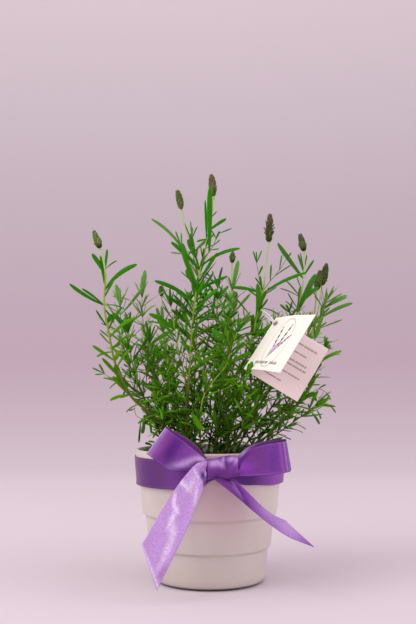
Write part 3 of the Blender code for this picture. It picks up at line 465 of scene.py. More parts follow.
def glaze_finish():
    """Cream glaze, a little mottled, with painted shade towards the bottom, a painted shadow and
    pink reflection of the bow below it, and a painted contact shadow on a rougher band at the foot.
    """
    finish = Finish("cream_glaze", Coat_Weight=0.25, Coat_Roughness=0.18, IOR=1.5)
    height = finish.along("Z")
    cloud = finish.noise(28.0)
    speckle = finish.noise(900.0, 2.0)
    colour = finish.mix(cloud.smooth_step(0.3, 0.7), (0.575, 0.515, 0.465), (0.615, 0.545, 0.500))
    colour = finish.lit(colour, 1.0 - speckle.smooth_step(0.62, 0.8) * 0.05)
    # Painted shade: the glaze a little darker towards the bottom
    colour = finish.lit(colour, height.smooth_step(0.0, 0.07) * 0.1 + 0.92)
    # Painted shadow and pink reflection of the bow on the glaze below it
    bow_shadow_and_reflection = (1.0 - (finish.along("X") - 0.010).size().smooth_step(0.004, 0.045)) * (
        height.smooth_step(0.030, 0.085)) * (1.0 - finish.along("Y").smooth_step(-0.05, -0.03))
    colour = finish.mix(bow_shadow_and_reflection, colour, (0.590, 0.405, 0.445))
    # Painted contact shadow: a dark band at the foot, which is also rougher
    foot = 1.0 - height.smooth_step(0.0013, 0.0030)
    colour = finish.mix(foot, colour, (0.060, 0.030, 0.022))
    roughness = cloud * 0.12 + foot * 0.4 + 0.3
    ripple = finish.noise(60.0, 1.0) + speckle * 0.04
    return finish.surface(Base_Color=colour, Roughness=roughness,
                          Normal=finish.bump(ripple, 0.0006, 0.25))


def peat_finish():
    finish = Finish("peat", Roughness=0.95)
    clod = finish.noise(260.0, 6.0)
    fibre = finish.noise(1400.0, 3.0)
    colour = finish.mix(clod.smooth_step(0.35, 0.7), (0.012, 0.007, 0.004), (0.060, 0.034, 0.018))
    colour = finish.lit(colour, fibre * 0.8 + 0.6)
    return finish.surface(Base_Color=colour, Roughness=clod * 0.2 + 0.78,
                          Normal=finish.bump(clod + fibre * 0.5, 0.0015, 0.8))


def leaf_finish():
    """Grown tissue: the tint comes from the mesh, with veins, mottling and a dull waxy gloss."""
    finish = Finish("lavender_leaf", Specular_IOR_Level=0.05)
    mottle = finish.noise(420.0, 3.0)
    patch = finish.noise(70.0, 1.0)
    colour = finish.lit(finish.attribute("tint"), mottle * 0.35 + patch * 0.3 + 0.68)
    return finish.surface(Base_Color=colour, Roughness=mottle * 0.25 + 0.42,
                          Normal=finish.bump(finish.noise(1500.0, 2.0), 0.0002, 0.4))


def bud_finish():
    finish = Finish("lavender_bud", Specular_IOR_Level=0.08)
    down = finish.noise(2400.0, 2.0)
    colour = finish.lit(finish.attribute("tint"), down * 0.5 + 0.75)
    return finish.surface(Base_Color=colour, Roughness=down * 0.15 + 0.78,
                          Normal=finish.bump(down, 0.0004, 0.6))


def satin_finish(name, thread_turn):
    """Woven satin: fine floats along the ribbon, a corded edge, and painted sparkle highlights where
    its painted tint is palest. thread_turn, in full turns, lays the gloss across the floats."""
    finish = Finish(name, Anisotropic=0.65, Anisotropic_Rotation=thread_turn,
                    Specular_IOR_Level=0.45, Specular_Tint=(0.86, 0.66, 1.0, 1.0))
    across = finish.along("X", finish.attribute("span", "Vector"))
    along = finish.along("Y", finish.attribute("span", "Vector"))
    floats = (across * TURN / FLOAT_PITCH).sine()
    slub = finish.noise(340.0, 3.0)
    half = RIBBON_WIDTH / 2
    edge = (across - half).size()
    cord = edge.smooth_step(half - 1.5, half - 1.1) * (
        1.0 - edge.smooth_step(half - 0.9, half - 0.5))
    grain = finish.noise(800.0, 1.0)
    colour = finish.lit(finish.attribute("tint"), floats * 0.03 + slub * 0.12 + grain * 0.6 + 0.64)
    # Painted sparkle: near-white flecks where the tint is palest, on its painted highlights
    highlight_share = finish.along("Y", finish.attribute("tint")).smooth_step(0.32, 0.56)
    painted_sparkle = finish.noise(900.0, 1.0).smooth_step(0.48, 0.63) * highlight_share
    colour = finish.mix(painted_sparkle * 0.6, colour, (0.93, 0.88, 0.97))
    colour = finish.mix(cord * 0.1, colour, LILAC)
    weft = (along * TURN / WEFT_PITCH).sine()
    relief = floats * 0.5 + weft * 0.1 + slub * 0.8 + cord * 0.7
    return finish.surface(Base_Color=colour, Roughness=slub * 0.14 + 0.33 + cord * 0.1,
                          Normal=finish.bump(relief, 0.00005, 0.7))


def card_finish():
    finish = Finish("tag_card", Specular_IOR_Level=0.25)
    fibre = finish.noise(1800.0, 4.0)
    cloud = finish.noise(45.0, 2.0)
    colour = finish.lit(finish.attribute("tint"), fibre * 0.06 + cloud * 0.06 + 0.94)
    return finish.surface(Base_Color=colour, Roughness=fibre * 0.15 + 0.66,
                          Normal=finish.bump(fibre, 0.00006, 0.5))


def string_finish(name, light):
    """Two-ply cotton: slanting ridges with a little fuzz."""
    finish = Finish(name, Sheen_Weight=0.3)
    place = finish.place()
    lay = (finish.along("Y", place) + finish.along("Z", place) * 0.8) * TURN / (PLY_PITCH * MM)
    fuzz = finish.noise(3500.0, 2.0)
    ply = lay.sine() * 0.5 + 0.5
    dark = tuple(level * 0.74 for level in light)
    colour = finish.mix(ply, dark, light)
    return finish.surface(Base_Color=finish.lit(colour, fuzz * 0.2 + 0.9),
                          Roughness=fuzz * 0.1 + 0.82,
                          Normal=finish.bump(ply + fuzz * 0.3, 0.0002, 0.6))


# ---------------------------------------------------------------- curves

def unit(vectors):
    return vectors / np.maximum(np.linalg.norm(vectors, axis=-1, keepdims=True), 1e-9)


def smooth_curve(points, per_span):
    """Points on a Catmull-Rom curve through the given points, as an array."""
    p = np.array(points, float)
    p = np.vstack([2 * p[0] - p[1], p, 2 * p[-1] - p[-2]])
    out = []
    for i in range(1, len(p) - 2):
        for t in np.arange(per_span) / per_span:
            a = 2 * p[i]
            b = (p[i + 1] - p[i - 1]) * t
            c = (2 * p[i - 1] - 5 * p[i] + 4 * p[i + 1] - p[i + 2]) * t * t
            d = (-p[i - 1] + 3 * p[i] - 3 * p[i + 1] + p[i + 2]) * t * t * t
            out.append((a + b + c + d) / 2)
    return np.array([*out, p[-2]])


class Path:
    """A curve that is read by the distance along it."""

    def __init__(self, points):
        self.points = np.array(points, float)
        steps = np.linalg.norm(np.diff(self.points, axis=0), axis=1)
        self.reach = np.concatenate([[0.0], np.cumsum(steps)])
        self.length = self.reach[-1]

    def at(self, distance):
        return np.stack([np.interp(distance, self.reach, self.points[:, k]) for k in range(3)],
                        axis=-1)

    def way(self, distance):
        return unit(self.at(distance + 1.0) - self.at(distance - 1.0))

    def distance_at_height(self, height):
        higher = np.nonzero(self.points[:, 2] >= height)[0]
        return self.reach[higher[0]] if len(higher) else self.length


def arc(start, way, length, bend, shares):
    """Points and ways of an arc that leaves along way and turns down by bend over its length."""
    lift = unit(UP - way * way[2]) if abs(way[2]) < 0.98 else unit(np.cross(way, (0.0, 1.0, 0.0)))
    bend = bend if abs(bend) > 0.002 else 0.002
    turn = (bend * shares)[:, None]
    points = start + length * (way * np.sin(turn) - lift * (1 - np.cos(turn))) / bend
    return points, way * np.cos(turn) - lift * np.sin(turn)


def heading_vector(heading, rise):
    flat = math.cos(math.radians(rise))
    turn = math.radians(heading)
    return np.array((flat * math.cos(turn), flat * math.sin(turn), math.sin(math.radians(rise))))


# ---------------------------------------------------------------- meshes

def capped_quads(stations, ring):
    """Faces between successive rings of points and over both ends, wound to face outwards."""
    k, j = np.meshgrid(np.arange(stations - 1), np.arange(ring), indexing="ij")
    after = (j + 1) % ring
    wall = np.stack([k * ring + j, k * ring + after, (k + 1) * ring + after,
                     (k + 1) * ring + j], axis=-1).reshape(-1, 4)
    i = np.arange(ring // 2 - 1)
    cap = np.stack([i, i + 1, ring - 2 - i, ring - 1 - i], axis=-1)
    return np.vstack([wall, cap[:, ::-1], cap + (stations - 1) * ring])


class Solid:
    """Gathers the closed parts of one piece: points in millimetres, quads and point tints."""

    def __init__(self):
        self.points, self.quads, self.tints, self.count = [], [], [], 0

    def add(self, points, quads, tints):
        points = points.reshape(-1, 3)
        self.points.append(points)
        self.quads.append(quads + self.count)
        self.tints.append(np.broadcast_to(np.reshape(tints, (-1, 3)), points.shape))
        self.count += len(points)

    def tube(self, line, radii, tint, sides=4, squareness=2.0):
        """A tube along a line, of one tint or one for each point. A squareness over 2 squares its
        section, as lavender stems are."""
        ways = unit(np.gradient(line, axis=0))
        side = np.array((1.0, 0.2, 0.0))
        turns = np.arange(sides) * TURN / sides + math.pi / 4
        section = np.stack([np.cos(turns), -np.sin(turns)], axis=-1)
        section /= (np.abs(section) ** squareness).sum(1, keepdims=True) ** (1 / squareness)
        rings = []
        for way, centre, radius in zip(ways, line, radii):
            side = unit(side - way * side.dot(way))
            rings.append(centre + radius * (section[:, :1] * side
                                            + section[:, 1:] * np.cross(side, way)))
        tints = np.broadcast_to(tint, (len(line), 3))[:, None]
        self.add(np.array(rings), capped_quads(len(line), sides), np.repeat(tints, sides, axis=1))

    def mesh(self, name):
        points = np.vstack(self.points) * MM
        quads = np.vstack(self.quads).astype(np.int32)
        mesh = bpy.data.meshes.new(name)
        mesh.vertices.add(len(points))
        mesh.vertices.foreach_set("co", points.astype(np.float32).ravel())
        mesh.loops.add(quads.size)
        mesh.loops.foreach_set("vertex_index", quads.ravel())
        mesh.polygons.add(len(quads))
        mesh.polygons.foreach_set("loop_start", np.arange(0, quads.size, 4, dtype=np.int32))
        mesh.update(calc_edges=True)
        tints = np.vstack(self.tints)
        colours = np.hstack([tints, np.ones((len(tints), 1))]).astype(np.float32)
        mesh.attributes.new("tint", "FLOAT_COLOR", "POINT").data.foreach_set(
            "color", colours.ravel())
        mesh.shade_smooth()
        return mesh


def place_piece(name, data, material, nodes):
    """Link a piece, give it its finish, hide the CAD nodes that it stands for, and let it ride on
    the part.
    """
    piece = add_object(name, data)
    data.materials.append(material)
    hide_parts(*nodes)
    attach(piece, "root")
    return piece


# ---------------------------------------------------------------- pot and soil

def outer_wall():
    """Radius and height of the pot's outside, from the foot to the lip."""
    profile = [(FOOT_RADIUS, 0.0)]
    for step in (1, 2):
        turn = step * math.pi / 6
        profile.append((FOOT_RADIUS + (TIERS[0][1] - FOOT_RADIUS) * math.sin(turn),
                        FOOT_CORNER * (1 - math.cos(turn))))
    for low, low_radius, high, high_radius in TIERS:
        profile += [(low_radius, low), (high_radius, high)]
    return profile


def wall_radius(height):
    radii, heights = np.array(outer_wall()).T
    return np.interp(height, heights, radii)


def inner_wall(inset):
    """The inside of the pot, from the lip down to the floor, moved inwards by inset."""
    points = [(radius - WALL - inset, height) for radius, height in reversed(outer_wall())
              if height >= FOOT_CORNER]
    return points + [(FOOT_RADIUS - WALL - inset, FLOOR + inset)]


def softened(profile):
    """The profile with its corners rounded, but with its two ends kept."""
    rounding, step = LEDGE_ROUNDING, PROFILE_STEP
    corners = np.array([(r, 0.0, z) for r, z in profile])
    path = Path(corners)
    line = path.at(np.arange(0.0, path.length, step))
    reach = int(3 * rounding / step)
    kernel = np.exp(-0.5 * (np.arange(-reach, reach + 1) * step / rounding) ** 2)
    kernel /= kernel.sum()
    padded = np.vstack([np.repeat(line[:1], reach, 0), line, np.repeat(line[-1:], reach, 0)])
    smooth = np.stack([np.convolve(padded[:, k], kernel, "valid") for k in range(3)], axis=-1)
    return np.vstack([corners[:1], smooth[1:-1], corners[-1:]])


def turned(solid, profile, sides, relief=None):
    """Turn a profile of (radius, 0, height) from the axis to the axis into a closed solid."""
    turns = np.arange(sides) * TURN / sides
    radius = np.maximum(profile[:, 0], 0.02)[:, None]
    rings = np.stack([radius * np.cos(turns), radius * np.sin(turns),
                      np.broadcast_to(profile[:, 2:], (len(profile), sides))], axis=-1)
    if relief:
        rings = relief(rings)
    solid.add(rings, capped_quads(len(profile), sides)[:, ::-1], WHITE)


def build_pot(material):
    outer = outer_wall()
    middle = outer[-1][0] - WALL / 2
    lip = [(middle + WALL / 2 * math.cos(turn), POT_HEIGHT - LIP + LIP * math.sin(turn))
           for turn in (math.pi / 4, math.pi / 2, 3 * math.pi / 4)]
    wall = [*outer, *lip, *inner_wall(0.0)]
    profile = np.vstack([[(0.0, 0.0, 0.0)], softened(wall), [(0.0, 0.0, FLOOR)]])
    profile[:, 2] = np.maximum(profile[:, 2], 0.0)
    solid = Solid()
    turned(solid, profile[::-1], POT_SIDES)
    place_piece("ceramic_pot", solid.mesh("ceramic_pot"), material, ["pot"])


def build_soil(material):
    """Heaped peat with crumbs and bark lying on it."""
    side = [(radius, height) for radius, height in inner_wall(CLEARANCE) if height < SOIL_TOP]
    edge = wall_radius(SOIL_TOP) - WALL - CLEARANCE
    rings_on_top = 26
    crown = [(edge * k / rings_on_top, SOIL_TOP + SOIL_CROWN * (1 - (k / rings_on_top) ** 2))
             for k in range(rings_on_top + 1)]
    profile = np.array([(r, 0.0, z) for r, z in [*crown, *side, (0.0, FLOOR + CLEARANCE)]])

    def lumpy(rings):
        for ring in rings[:rings_on_top]:
            for point in ring:
                point[2] += 1.9 * noise.noise(Vector(point) / 9.0) + 0.9 * noise.noise(
                    Vector(point) / 2.6 + Vector((7, 3, 1)))
        return rings

    solid = Solid()
    turned(solid, profile, SOIL_SIDES, lumpy)
    rng = Random(41)
    for _ in range(CRUMBS):
        reach, turn = CRUMB_REACH * math.sqrt(rng.random()), rng.uniform(0, TURN)
        centre = np.array((reach * math.cos(turn), reach * math.sin(turn),
                           SOIL_TOP + SOIL_CROWN + rng.uniform(-0.4, 1.2)))
        size = rng.uniform(0.7, 2.4)
        way = heading_vector(rng.uniform(0, 360), rng.uniform(-20, 25))
        shares = np.array((-1.0, -0.7, 0.1, 0.8, 1.0))
        line = centre + way * (shares * size)[:, None]
        girth = size * rng.uniform(0.35, 0.8) * np.array((0.25, 0.8, 1.0, 0.7, 0.2))
        solid.tube(line, girth * rng.uniform(0.8, 1.2), WHITE, 6)
    place_piece("potting_soil", solid.mesh("potting_soil"), material, ["soil"])


# ---------------------------------------------------------------- grown pieces

# Each blade: shares along it, its widths there, and its section as (across in half-widths, over in
# half-thicknesses), right-handed round the leaf
SLIM = (np.array((0.0, 0.2, 0.5, 0.78, 0.94, 1.0)), np.array((0.42, 0.74, 1.0, 0.96, 0.66, 0.22)),
        np.array(((1.0, 0.0), (0.0, -1.0), (-1.0, 0.0), (0.0, 1.0))))
BROAD = (np.array((0.0, 0.06, 0.18, 0.34, 0.50, 0.65, 0.79, 0.89, 0.96, 1.0)),
         np.array((0.32, 0.42, 0.62, 0.80, 0.93, 1.0, 0.97, 0.83, 0.58, 0.16)),
         np.array(((1.0, 0.0), (0.52, -0.8), (0.0, -1.5), (-0.52, -0.8), (-1.0, 0.0),
                   (-0.5, 1.0), (0.0, 0.1), (0.5, 1.0))))
SCALE = (np.array((0.0, 0.3, 0.6, 0.85, 1.0)), np.array((0.5, 0.95, 1.0, 0.6, 0.12)),
         np.array(((1.0, 0.0), (0.0, -1.0), (-1.0, 0.0), (-0.58, 0.66), (0.0, 1.0),
                   (0.58, 0.66))))
MARGIN_ROLL = 0.22


def blade_tints(tint, shares, section, vein, edge, back, margin):
    """The tint of each point of each leaf: its back, rib, rim and margin have their own."""
    along = shares[None, :, None, None]
    under = (section[None, None, :, 1:] < -0.1) * 0.55
    rib = (np.abs(section[:, 0]) < 0.1) & (section[:, 1] > 0)
    rim = np.abs(section[:, 0]) > 0.9
    shade = np.where(rib, vein, np.where(rim, edge, 1.0))[None, None, :, None] * (
        0.9 + 0.2 * along)
    tints = (tint * (1 - under) + back * under * (tint.sum(-1, keepdims=True) * 1.9 + 0.3)
             ) * shade
    if margin is None:
        return tints
    pale = rim[None, None, :, None] | (along > 0.9)
    return np.where(pale, margin * (0.1 + 4.4 * tint.mean(-1, keepdims=True)), tints)


class Leaves:
    """Leaves or bud scales to be made together, each one a row of numbers."""

    def __init__(self):
        self.rows = []

    def add(self, start, way, face, length, width, bend, twist, tint, thickness):
        self.rows.append((*start, *way, *face, length, width, math.radians(bend),
                          math.radians(twist), thickness, *tint))

    def build(self, solid, blade, trimmed=False, vein=1.1, edge=1.0, back=LEAF_BACK, margin=None):
        """Make the leaves; trimmed leaves out those that would be where none may be."""
        if not self.rows:
            return
        shares, widths, section = blade
        rows = np.array(self.rows)
        start, way, face = rows[:, 0:3], unit(rows[:, 3:6]), rows[:, 6:9]
        length, width, bend, twist, thickness = (rows[:, k, None, None] for k in range(9, 14))
        lift = UP - way * way[:, 2:]
        lift = unit(np.where(np.abs(way[:, 2:]) > 0.97, face - way * (face * way).sum(
            1, keepdims=True), lift))
        bend = np.where(np.abs(bend) < 0.002, 0.002, bend)
        u = shares[None, :, None]
        turn = bend * u
        centre = start[:, None] + length * (
            way[:, None] * np.sin(turn) - lift[:, None] * (1 - np.cos(turn))) / bend
        if trimmed:
            keep = ~blocked(centre.reshape(-1, 3)).reshape(len(rows), -1)[:, 1:].any(1)
            keep &= ~crosses_tag(centre)
            rows, centre, turn, way, lift, face = (
                a[keep] for a in (rows, centre, turn, way, lift, face))
            width, twist, thickness = width[keep], twist[keep], thickness[keep]
            if not len(rows):
                return
        ways = way[:, None] * np.cos(turn) - lift[:, None] * np.sin(turn)
        over = unit(face[:, None] - ways * (face[:, None] * ways).sum(-1, keepdims=True))
        side = np.cross(ways, over)
        roll = twist * u
        side, over = (side * np.cos(roll) + over * np.sin(roll),
                      over * np.cos(roll) - side * np.sin(roll))
        half = (width / 2 * widths[None, :, None])[..., None]
        thick = (thickness * np.sqrt(widths)[None, :, None])[..., None]
        a = section[None, None, :, :1]
        points = centre[:, :, None] + side[:, :, None] * a * half + over[:, :, None] * (
            section[None, None, :, 1:] * thick - MARGIN_ROLL * a * a * half)
        tints = blade_tints(rows[:, None, None, 14:17], shares, section, vein, edge, back, margin)
        n, stations, ring = points.shape[:3]
        quads = capped_quads(stations, ring)
        offsets = np.arange(n)[:, None, None] * stations * ring
        solid.add(points, (quads[None] + offsets).reshape(-1, 4), tints.reshape(-1, 3))


def tag_ways():
    """Unit directions down the fold and across the two panels, square to the fold."""
    down = unit(TAG_FOLD_WAY)
    return down, *(unit(way - down * way.dot(down)) for way in (TAG_COVER_WAY, TAG_BACK_WAY))


# How far round a panel, behind it and before it no leaf may be
TAG_MARGIN = 1.5
TAG_BEHIND = 1.6
TAG_BEFORE = 30.0


def crosses_tag(lines):
    """Whether each line of points passes through the tag or stands right before it."""
    down, cover, back = tag_ways()
    hit = np.zeros(len(lines), bool)
    for way in (cover, back):
        normal = np.cross(way, down)
        normal *= -np.sign(normal[1])
        offset = lines - TAG_CORNER
        a, b, off = offset @ way, offset @ down, offset @ normal
        near = ((a > -TAG_MARGIN) & (a < TAG_WIDTH + TAG_MARGIN)
                & (b > -TAG_MARGIN) & (b < TAG_HEIGHT + TAG_MARGIN))
        hit |= (near & (off > -TAG_BEHIND) & (off < TAG_BEFORE)).any(1)
        hit |= near.any(1) & (off.min(1) < 0) & (off.max(1) > 0)
    return hit


# Ranges of X, Y and Z with no leaves: round the bow, and before the middle stem, which shows.
# None are below the soil's height either, nor, low down, outside the rim's radius
BOW_SPACE = ((-56.0, 71.0), (-math.inf, -58.0), (-math.inf, 139.0))
STEM_SPACE = ((-19.4, -14.6), (-math.inf, -28.5), (152.0, 232.0))
SOIL_SPACE = 103.5
RIM_SPACE = 116.0
RIM_RADIUS = 57.5


def blocked(points):
    """Where no leaf or shoot may be: in the soil, over the pot's rim or in one of the spaces."""
    height = points[:, 2]
    out = (height < SOIL_SPACE) | (
        (height < RIM_SPACE) & (np.hypot(points[:, 0], points[:, 1]) > RIM_RADIUS))
    for space in (BOW_SPACE, STEM_SPACE):
        low, high = np.array(space).T
        out |= ((points > low) & (points < high)).all(1)
    return out


# How high loose side shoots reach at each X
CANOPY = ((-110, 204), (-88, 220), (-70, 214), (-50, 218), (-30, 232), (-12, 264), (5, 262),
          (22, 254), (45, 244), (70, 246), (100, 236), (125, 210))
# How far left and right they spread at each height
CROWN = ((100, -57, 60), (117, -61, 70), (138, -63, 84), (160, -73, 95), (181, -88, 101),
         (200, -97, 106), (245, -108, 118), (320, -110, 120))
BACK_EDGE = 84.0


def canopy_height(x):
    return float(np.interp(x, *np.array(CANOPY).T))


def beyond_crown(points):
    x, y, z = points.T
    heights, left, right = np.array(CROWN).T
    return (x < np.interp(z, heights, left)) | (x > np.interp(z, heights, right)) | (y > BACK_EDGE)


# Heights between which leaves turn from a green darkened as painted shade to an inner green
# lightened as painted light, stay so, and turn to the full green above
TINT_HEIGHTS = (110.0, 150.0, 200.0, 245.0)


def leaf_tint(rng, point, tint_lift=0.0):
    """A leaf's colour: darker at the foot of the plant as painted shade, lighter and yellower inside
    it as painted light against the plant's own shade, a full green above, and paler at the back
    where the light comes through."""
    back = min(1.0, max(0.0, (point[1] + 6.0) / 50.0))
    # The lift moves a leaf along the height ramp of painted shade and painted light
    height = point[2] + 60.0 * tint_lift + rng.uniform(-18, 18)
    tint = np.array([np.interp(height, TINT_HEIGHTS, levels) for levels in zip(
        SHADED_LOW_LEAF, LIGHTENED_INNER_LEAF, LIGHTENED_INNER_LEAF, FRESH_LEAF)])
    tint = tint + (PALE_LEAF - tint) * (0.8 * back * min(1.0, max(0.0, (height - 120.0) / 80.0)))
    return tint * rng.uniform(0.8, 1.2)


def across_pair(way, turn):
    """Two opposite directions square to a shoot, turned round it."""
    side = unit(np.cross(way, (0.31, 0.95, 0.05)))
    other = np.cross(way, side)
    out = side * math.cos(turn) + other * math.sin(turn)
    return out, -out


PAIR_STEP = 9.5


def grow_shoot(solid, leaves, start, way, length, bend, rng, leaf_length):
    """A side shoot with opposite pairs of small blunt leaves, each pair a quarter turn on."""
    count = max(2, round(length / PAIR_STEP))
    points, ways = arc(start, way, length, math.radians(bend), np.linspace(0.0, 1.0, 2 * count + 1))
    if blocked(points[1:]).any() or beyond_crown(points).any() or crosses_tag(points[None])[0]:
        return
    # Painted shade on shoots low in the plant: the shaded stem colour below, green higher up
    green = min(1.0, max(0.0, (start[2] - 125) / 90))
    tint = SHADED_STEM + (GREEN_STEM * 0.7 - SHADED_STEM) * green
    solid.tube(points, np.linspace(0.6, 0.3, len(points)), tint)
    turn = rng.uniform(0, math.pi)
    for k in range(1, count + 1):
        turn += math.pi / 2 + rng.uniform(-0.3, 0.3)
        size = leaf_length * (0.8 + 0.4 * math.sin(math.pi * k / count * 0.9))
        node, along = points[2 * k], ways[2 * k]
        for out in across_pair(along, turn):
            long = size * rng.uniform(0.75, 1.2)
            leaves.add(node, unit(out + along * rng.uniform(0.55, 1.2)), along + out * 0.1, long,
                       rng.uniform(2.1, 3.2), rng.uniform(-30, 60), rng.uniform(-35, 35),
                       leaf_tint(rng, node), 0.22)
            if rng.random() < 0.3:
                leaves.add(node, unit(out * 0.6 + along * 1.1 + UP * 0.2), along - out * 0.2,
                           long * 0.55, 1.7, rng.uniform(-10, 25), 0, leaf_tint(rng, node, 0.08),
                           0.2)
    for turn_more in (0.0, 1.4):
        for out in across_pair(ways[-1], turn + turn_more):
            leaves.add(points[-1], unit(out * rng.uniform(0.25, 0.5) + ways[-1]), ways[-1] + out,
                       leaf_length * rng.uniform(0.5, 0.8), 1.8, 8, 0,
                       leaf_tint(rng, points[-1], 0.15), 0.2)


def stem_path(foot, points):
    return Path(smooth_curve([(*foot, SOIL_TOP - 6.0), (*foot, SOIL_TOP + 2.0), *points], 8))


def facing_front(way):
    """A face for a leaf that lies along way: it looks to -Y and a little up."""
    face = np.array((0.0, -0.86, 0.5))
    return unit(face - way * face.dot(way)) if abs(way.dot(unit(face))) < 0.9 else UP


# Heights down to which a stem shows its own green before painted shade darkens it, and below
# which it is woody
STEM_TONES = {"stem_left": (252.0, 152.0), "stem_centre": (195.0, 195.0),
              "stem_front": (160.0, 160.0)}
OTHER_TONES = (235.0, 200.0)
# Heights below which set leaves take more painted shade, and above which set side shoots take
# less painted shade than those below
MORE_SHADE_BELOW = {"stem_left": 205.0}
LESS_SHADE_ABOVE = 165.0
# Height up to which the left stem bears loose leaves; the rest of it is bare between set leaves
LOOSE_UP_TO = {"stem_left": 143.0}
# Stems whose tops are dressed leaf by leaf in the table
DRESSED_STEMS = ("stem_left", "stem_centre", "stem_centre_slim", "stem_right_tall", "stem_right")
# Leaves grow longer and side shoots shorter from this height up, over this span
RISE_FOOT = 115.0
RISE_SPAN = 110.0
FILL_ABOVE = 124.0


def stem_tints(name, height, past_leaves):
    """A stem's colours: woody and shaded low down, green above, dull on its bare stalk."""
    lit_down_to, woody_below = STEM_TONES.get(name, OTHER_TONES)
    wood, shaded, bare = (np.clip(amount, 0.0, 1.0)[:, None] for amount in (
        (woody_below - height) / 45.0, (lit_down_to - 20.0 - height) / 60.0, past_leaves / 12.0))
    tints = GREEN_STEM * (1 - wood) + WOODY_STEM * wood
    tints = tints * (1 - shaded * 0.85) + SHADED_STEM * shaded * 0.85
    return tints * (1 - bare) + STALK * bare


def set_leaf(leaves, start, row, twist, tinted_at, tint_lift, thickness, rng):
    """A leaf from a table's row of heading, rise, length, width and bend."""
    heading, rise, length, width, bend = row
    way = heading_vector(heading, rise)
    leaves.add(start, way, facing_front(way), length, width, bend, rng.uniform(-twist, twist),
               leaf_tint(rng, tinted_at, tint_lift), thickness)


def shoot_chance(x, height):
    """How likely a side shoot is at a leaf: least on the right, fewer low, more high up there."""
    chance = 0.24 if x > 38 else 0.27 if x > -25 else 0.46
    return chance * (0.75 if height < 125 else 1.6 if height > 180 and x > -15 else 1.0)


def dress_stem(name, path, leafy, solid, slim, broad, rng):
    """Opposite leaves, side shoots and small fill leaves, a quarter turn on at each joint."""
    dressed = name in DRESSED_STEMS
    distance = 9.0
    turn = rng.uniform(0, math.pi)
    while distance < leafy - 4:
        start, way = path.at(distance), path.way(distance)
        height = start[2]
        if height > LOOSE_UP_TO.get(name, height):
            break
        rising = min(1.0, max(0.0, (height - RISE_FOOT) / RISE_SPAN))
        ceiling = canopy_height(start[0]) - rng.uniform(0.0, 26.0)
        low = height < ceiling - 16
        close = low or not dressed
        turn += math.pi / 2 + rng.uniform(-0.15, 0.15)
        for out in across_pair(way, turn):
            if low and rng.random() < shoot_chance(start[0], height):
                long = min(rng.uniform(0.65, 1.15) * (48 - 22 * rising), ceiling - height)
                grow_shoot(solid, slim, start, unit(out + way * rng.uniform(0.4, 1.0)),
                           max(14.0, long), rng.uniform(-45, -5), rng, rng.uniform(10.0, 15.5))
            size = (13 + 15 * rising) * rng.uniform(0.8, 1.25)
            if rng.random() < (0.85 if close else 0.15):
                target = broad if size > 17 else slim
                target.add(start, unit(out + way * rng.uniform(0.7, 1.3)), way + out * 0.15, size,
                           size * 0.07 + 1.35, rng.uniform(-6, 40), rng.uniform(-45, 45),
                           leaf_tint(rng, start, 0.12), 0.26)
            fill = rng.choice((1, 1, 2)) if low else 1 if dressed else 2
            reach = 1.0 if low else 1.45
            for _ in range(fill if height > FILL_ABOVE else 0):
                swing = unit(out + np.cross(way, out) * rng.uniform(-0.7, 0.7)
                             + way * rng.uniform(0.9, 2.4))
                slim.add(start, swing, way - out * 0.1, rng.uniform(7, 13) * reach,
                         rng.uniform(1.6, 2.1), rng.uniform(-14, 30), rng.uniform(-30, 30),
                         leaf_tint(rng, start, 0.1), 0.2)
        distance += rng.uniform(8.5, 11.5) if close else rng.uniform(12.0, 16.0)
    return turn


def grow_stem(name, material, number):
    foot, joints, radius = STEMS[name]
    flowers = name in SPIKES
    rng = Random(100 + number)
    path = stem_path(foot, joints)
    leafy = path.distance_at_height(joints[-3][2]) if flowers else path.length
    solid, slim, broad, placed = Solid(), Leaves(), Leaves(), Leaves()

    distances = np.linspace(0.0, path.length, int(path.length / 3.2))
    line = path.at(distances)
    share = distances / path.length
    radii = radius * 0.64 * (1 - share) + (0.7 if flowers else 0.4) * share
    solid.tube(line, radii, stem_tints(name, line[:, 2], distances - leafy), 8, 3.2)

    for height, *row in LONG_LEAVES.get(name, ()):
        start = path.at(path.distance_at_height(height))
        # Set leaves low on the left stem take more painted shade
        tint_lift = -0.4 if height < MORE_SHADE_BELOW.get(name, 0.0) else 0.3
        set_leaf(broad, start, row, 12, start * (1.0, 0.5, 1.0), tint_lift, 0.3, rng)

    for height, points, girth, rows in SIDE_SHOOTS.get(name, ()):
        start = path.at(path.distance_at_height(height))
        shoot = Path(smooth_curve([tuple(start), *points], 5))
        solid.tube(shoot.at(np.linspace(0.0, shoot.length, 12)), np.linspace(girth, 0.3, 12),
                   GREEN_STEM * 0.6)
        for along, *row in rows:
            # Side shoots set low take more painted shade
            tint_lift = 0.15 if start[2] > LESS_SHADE_ABOVE else -0.35
            set_leaf(placed, shoot.at(along * shoot.length), row, 15, start, tint_lift, 0.24, rng)

    turn = dress_stem(name, path, leafy, solid, slim, broad, rng)
    top, way = path.at(leafy), path.way(leafy - 1)
    tuft = 0 if name in DRESSED_STEMS else 4 if flowers else 6
    for k in range(tuft):
        out, _ = across_pair(way, turn + k * TURN / tuft)
        slim.add(top, unit(out * rng.uniform(0.25, 0.6) + way), way + out,
                 rng.uniform(11, 22), rng.uniform(2.0, 2.7), rng.uniform(-5, 22), 0,
                 leaf_tint(rng, top, 0.3), 0.22)
    slim.build(solid, SLIM, trimmed=True)
    broad.build(solid, BROAD, trimmed=True, edge=1.7)
    placed.build(solid, BROAD, edge=1.7)
    place_piece("leafy_" + name, solid.mesh(name), material, [name])


